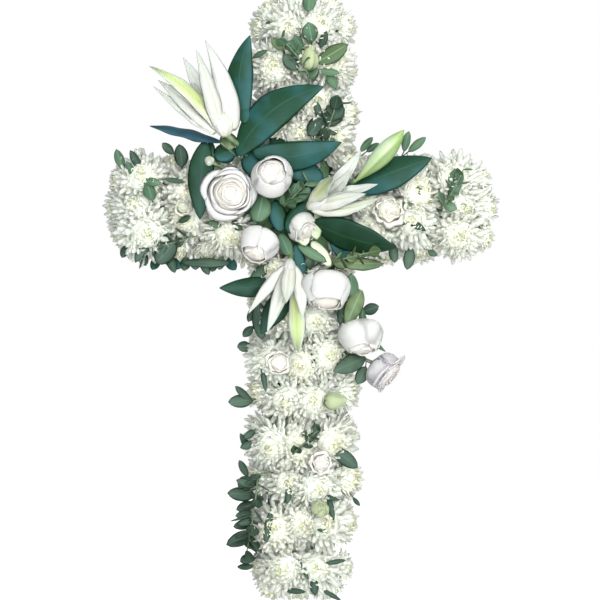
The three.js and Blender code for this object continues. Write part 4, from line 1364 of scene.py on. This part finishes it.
# %% Leaves between the flowers
# Stalk end across and down, tip across and down, width in the picture, depth in mm and, where it isn't
# dusky, the finish. First comes how much of the depth a region's leaves keep, as they sink in a little.
GREENS = {
    "top_arm": [
        0.94, (309, -8, 308, 12, 14, -112, "sprig"), (312, 43, 308, 22, 17, -112, "sprig"),
        (304, 50, 294, 35, 10, -110, "sprig"), (298, 70, 283, 55, 14, -110),
        (302, 57, 286, 41, 13, -111, "sprig"), (283, 50, 271, 38, 9, -108, "olive"),
        (316, 63, 348, 44, 19, -112, "olive"), (320, 48, 327, 31, 9, -107),
        (318, 70, 340, 73, 9, -110, "sprig"), (328, 73, 336, 89, 11, -108, "sprig"),
        (314, 66, 312, 80, 12, -106), (244, 107, 242, 84, 14, -104, "sprig"),
        (247, 104, 244, 124, 13, -112, "dark"), (324, 126, 343, 104, 22, -110),
        (326, 116, 308, 136, 18, -112), (320, 124, 333, 144, 17, -110), (320, 121, 316, 101, 8, -106),
        (252, 58, 268, 50, 6, -104),
    ],
    "right_arm": [
        0.92, (360, 152, 373, 137, 8, -100, "sprig"), (366, 152, 379, 143, 7, -98, "sprig"),
        (404, 152, 409, 131, 9, -100, "sprig"), (408, 152, 426, 137, 9, -98, "sprig"),
        (447, 202, 463, 172, 11, -110, "sprig"), (449, 194, 455, 168, 8, -108, "sprig"),
        (406, 206, 421, 186, 11, -106, "sprig"), (406, 219, 426, 231, 8, -106),
        (393, 243, 395, 263, 10, -84), (411, 246, 407, 270, 12, -84), (428, 250, 437, 256, 7, -80),
        (384, 226, 408, 223, 5, -104),
    ],
    "left_arm": [
        0.92, (124, 170, 116, 149, 10, -92, "sprig"), (142, 172, 130, 150, 9, -98),
        (137, 178, 126, 161, 8, -100, "sprig"), (174, 154, 162, 143, 9, -96), (182, 168, 179, 144, 14, -96),
        (142, 181, 161, 183, 9, -108, "sprig"), (147, 182, 153, 201, 13, -108, "sprig"),
        (164, 179, 185, 182, 6, -106), (178, 222, 191, 216, 7, -106), (152, 228, 135, 263, 12, -92),
        (176, 242, 156, 264, 20, -94), (168, 254, 175, 273, 10, -88), (180, 262, 232, 263, 11, -84),
        (194, 258, 196, 270, 10, -82), (202, 260, 209, 275, 9, -84), (222, 256, 219, 270, 9, -84),
        (146, 244, 160, 250, 8, -90), (208, 222, 222, 226, 8, -104, "sprig"), (140, 250, 146, 266, 11, -70),
        (158, 256, 152, 270, 10, -72, "dark"), (164, 258, 182, 268, 12, -70, "dark"),
        (186, 256, 184, 271, 11, -72), (196, 260, 214, 268, 12, -70, "dark"), (214, 258, 212, 272, 11, -74),
        (226, 258, 236, 270, 11, -74, "dark"), (128, 244, 122, 258, 9, -70),
    ],
    "crossing": [
        0.94, (263, 194, 256, 223, 23, -112, "sprig"), (275, 199, 281, 233, 19, -112, "dark"),
        (311, 203, 286, 233, 28, -114, "dark"), (288, 201, 297, 183, 11, -112, "sprig"),
        (297, 201, 310, 187, 11, -112, "sprig"), (268, 151, 325, 183, 30, -106, "dark"),
        (313, 208, 317, 240, 17, -112, "pale"), (298, 222, 306, 246, 17, -110, "pale"),
        (280, 232, 291, 257, 15, -106, "sprig"), (295, 242, 304, 289, 15, -104, "dark"),
        (297, 244, 327, 262, 12, -108, "sprig"), (311, 240, 331, 267, 15, -106, "pale"),
        (338, 263, 384, 264, 15, -104, "olive"), (343, 256, 381, 250, 10, -104, "olive"),
        (350, 250, 340, 260, 11, -103, "dark"), (308, 271, 311, 256, 11, -104),
        (352, 302, 351, 273, 14, -102, "sprig"), (345, 300, 340, 325, 11, -96),
        (362, 312, 379, 306, 12, -96), (366, 366, 357, 384, 13, -100),
        (250, 150, 252, 176, 20, -104, "dark"), (212, 140, 196, 186, 18, -98, "dark"),
        (236, 148, 214, 158, 22, -98, "dark"), (316, 196, 300, 176, 16, -102, "dark"),
        (262, 226, 250, 236, 10, -104), (222, 216, 243, 230, 10, -102), (272, 262, 250, 280, 12, -96),
        (330, 240, 350, 262, 12, -100, "dark"), (322, 200, 338, 216, 16, -102, "dark"),
        (270, 138, 300, 168, 26, -98, "dark"), (224, 132, 232, 150, 18, -100, "olive"),
        (300, 160, 316, 190, 18, -100, "dark"),
    ],
    "shaft": [
        0.88, (252, 328, 245, 331, 5, -60), (252, 346, 237, 347, 12, -70), (251, 400, 235, 386, 8, -66),
        (254, 400, 228, 402, 14, -66), (251, 455, 240, 433, 8, -66), (248, 477, 239, 460, 8, -64),
        (252, 478, 238, 487, 13, -66), (256, 495, 227, 493, 15, -70), (256, 503, 236, 510, 11, -62),
        (256, 513, 235, 516, 10, -66), (257, 522, 233, 527, 11, -60), (255, 532, 226, 545, 15, -70),
        (254, 556, 240, 562, 11, -64), (254, 566, 237, 567, 7, -60), (292, 450, 320, 431, 9, -106),
        (300, 446, 306, 430, 8, -106), (333, 448, 358, 468, 15, -104), (289, 486, 287, 504, 7, -106),
        (309, 472, 318, 493, 8, -106), (316, 496, 340, 500, 6, -106), (328, 494, 334, 521, 6, -105),
        (271, 510, 265, 544, 9, -106), (314, 526, 328, 532, 6, -106), (353, 497, 360, 506, 5, -96),
        (299, 560, 309, 581, 5, -105), (314, 577, 315, 596, 9, -105), (284, 590, 306, 592, 6, -104),
        (320, 588, 342, 601, 5, -102), (324, 564, 346, 560, 5, -104), (262, 364, 266, 392, 6, -96),
        (312, 352, 313, 368, 5, -104), (345, 350, 337, 366, 6, -102), (305, 298, 311, 318, 9, -104),
        (258, 300, 262, 340, 16, -92), (255, 306, 248, 322, 9, -84), (253, 326, 243, 337, 9, -84),
        (255, 430, 244, 438, 8, -84), (256, 442, 240, 448, 9, -84), (256, 486, 236, 480, 9, -84),
        (256, 520, 238, 524, 9, -84), (255, 548, 243, 542, 8, -84), (256, 558, 240, 560, 9, -84),
    ],
}
GREEN_STEM_RADIUS = 0.0009


def make_greens(region, kept, leaves):
    stack = Stack(*leaf_finishes.values(), green_stem)
    for index, (from_x, from_y, to_x, to_y, width, depth, *kind) in enumerate(leaves):
        start = seen(from_x, from_y, depth * kept + 6)
        end = seen(to_x, to_y, depth * kept - 2)
        width = width * PIXEL
        front = (0.4 * scatter(index, 1), -1, 0.3 + 0.4 * scatter(index, 2))
        grid = blade(start, end, front, width, bow=width * 0.12, cup=-width * 0.10, fullest=0.50, blunt=0.62,
                     wave=width * 0.03, steps=10, across=7, sway=width * 0.2 * scatter(index, 3))
        stack.sheet(grid, LEAF_THICKNESS, leaf_finishes[kind[0] if kind else "dusky"])
        root = start + np.array((0, 0.022, 0)) - unit(end - start) * 0.006
        stalk = bent_path(root, start, start + (end - start) * 0.1, 5)
        stack.tube(stalk, np.full(5, GREEN_STEM_RADIUS), 5, green_stem)
    finish_piece(stack.piece("greens_" + region), None)
    print("leaves in", region, len(leaves))


for region, (kept, *leaves) in GREENS.items():
    make_greens(region, kept, leaves)

# %% Put the patterns away
for patterns in (petal_kinds, head_kinds, single_parts):
    for pattern in list(patterns.objects):
        bpy.data.objects.remove(pattern)
    bpy.data.collections.remove(patterns)

# %% [markdown]
# ## Floor
# A plain pale floor lies just below the foot of the cross. It is not part of the object.

# %% Floor
FLOOR_DROP = 0.62
FLOOR_SIZE = 3.2

half = FLOOR_SIZE / 2
corners = [(x * half, y * half, -FLOOR_DROP) for x, y in ((-1, -1), (1, -1), (1, 1), (-1, 1))]
floor_mesh = bpy.data.meshes.new("floor")
floor_mesh.from_pydata(corners, [], [(0, 1, 2, 3)])
floor = add_object("floor", floor_mesh)
pale = Finish("pale_floor", 0.8, Base_Color=rgba(0.97), Emission_Color=rgba(1.0), Emission_Strength=0.10)
floor.data.materials.append(pale.material)

# %% Sizes and finish
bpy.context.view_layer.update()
shown_meshes = [thing.data for thing in bpy.data.objects if thing.type == "MESH" and not thing.hide_render]
print("triangles, about:", sum(len(mesh.loop_triangles) or len(mesh.polygons) * 2 for mesh in shown_meshes))
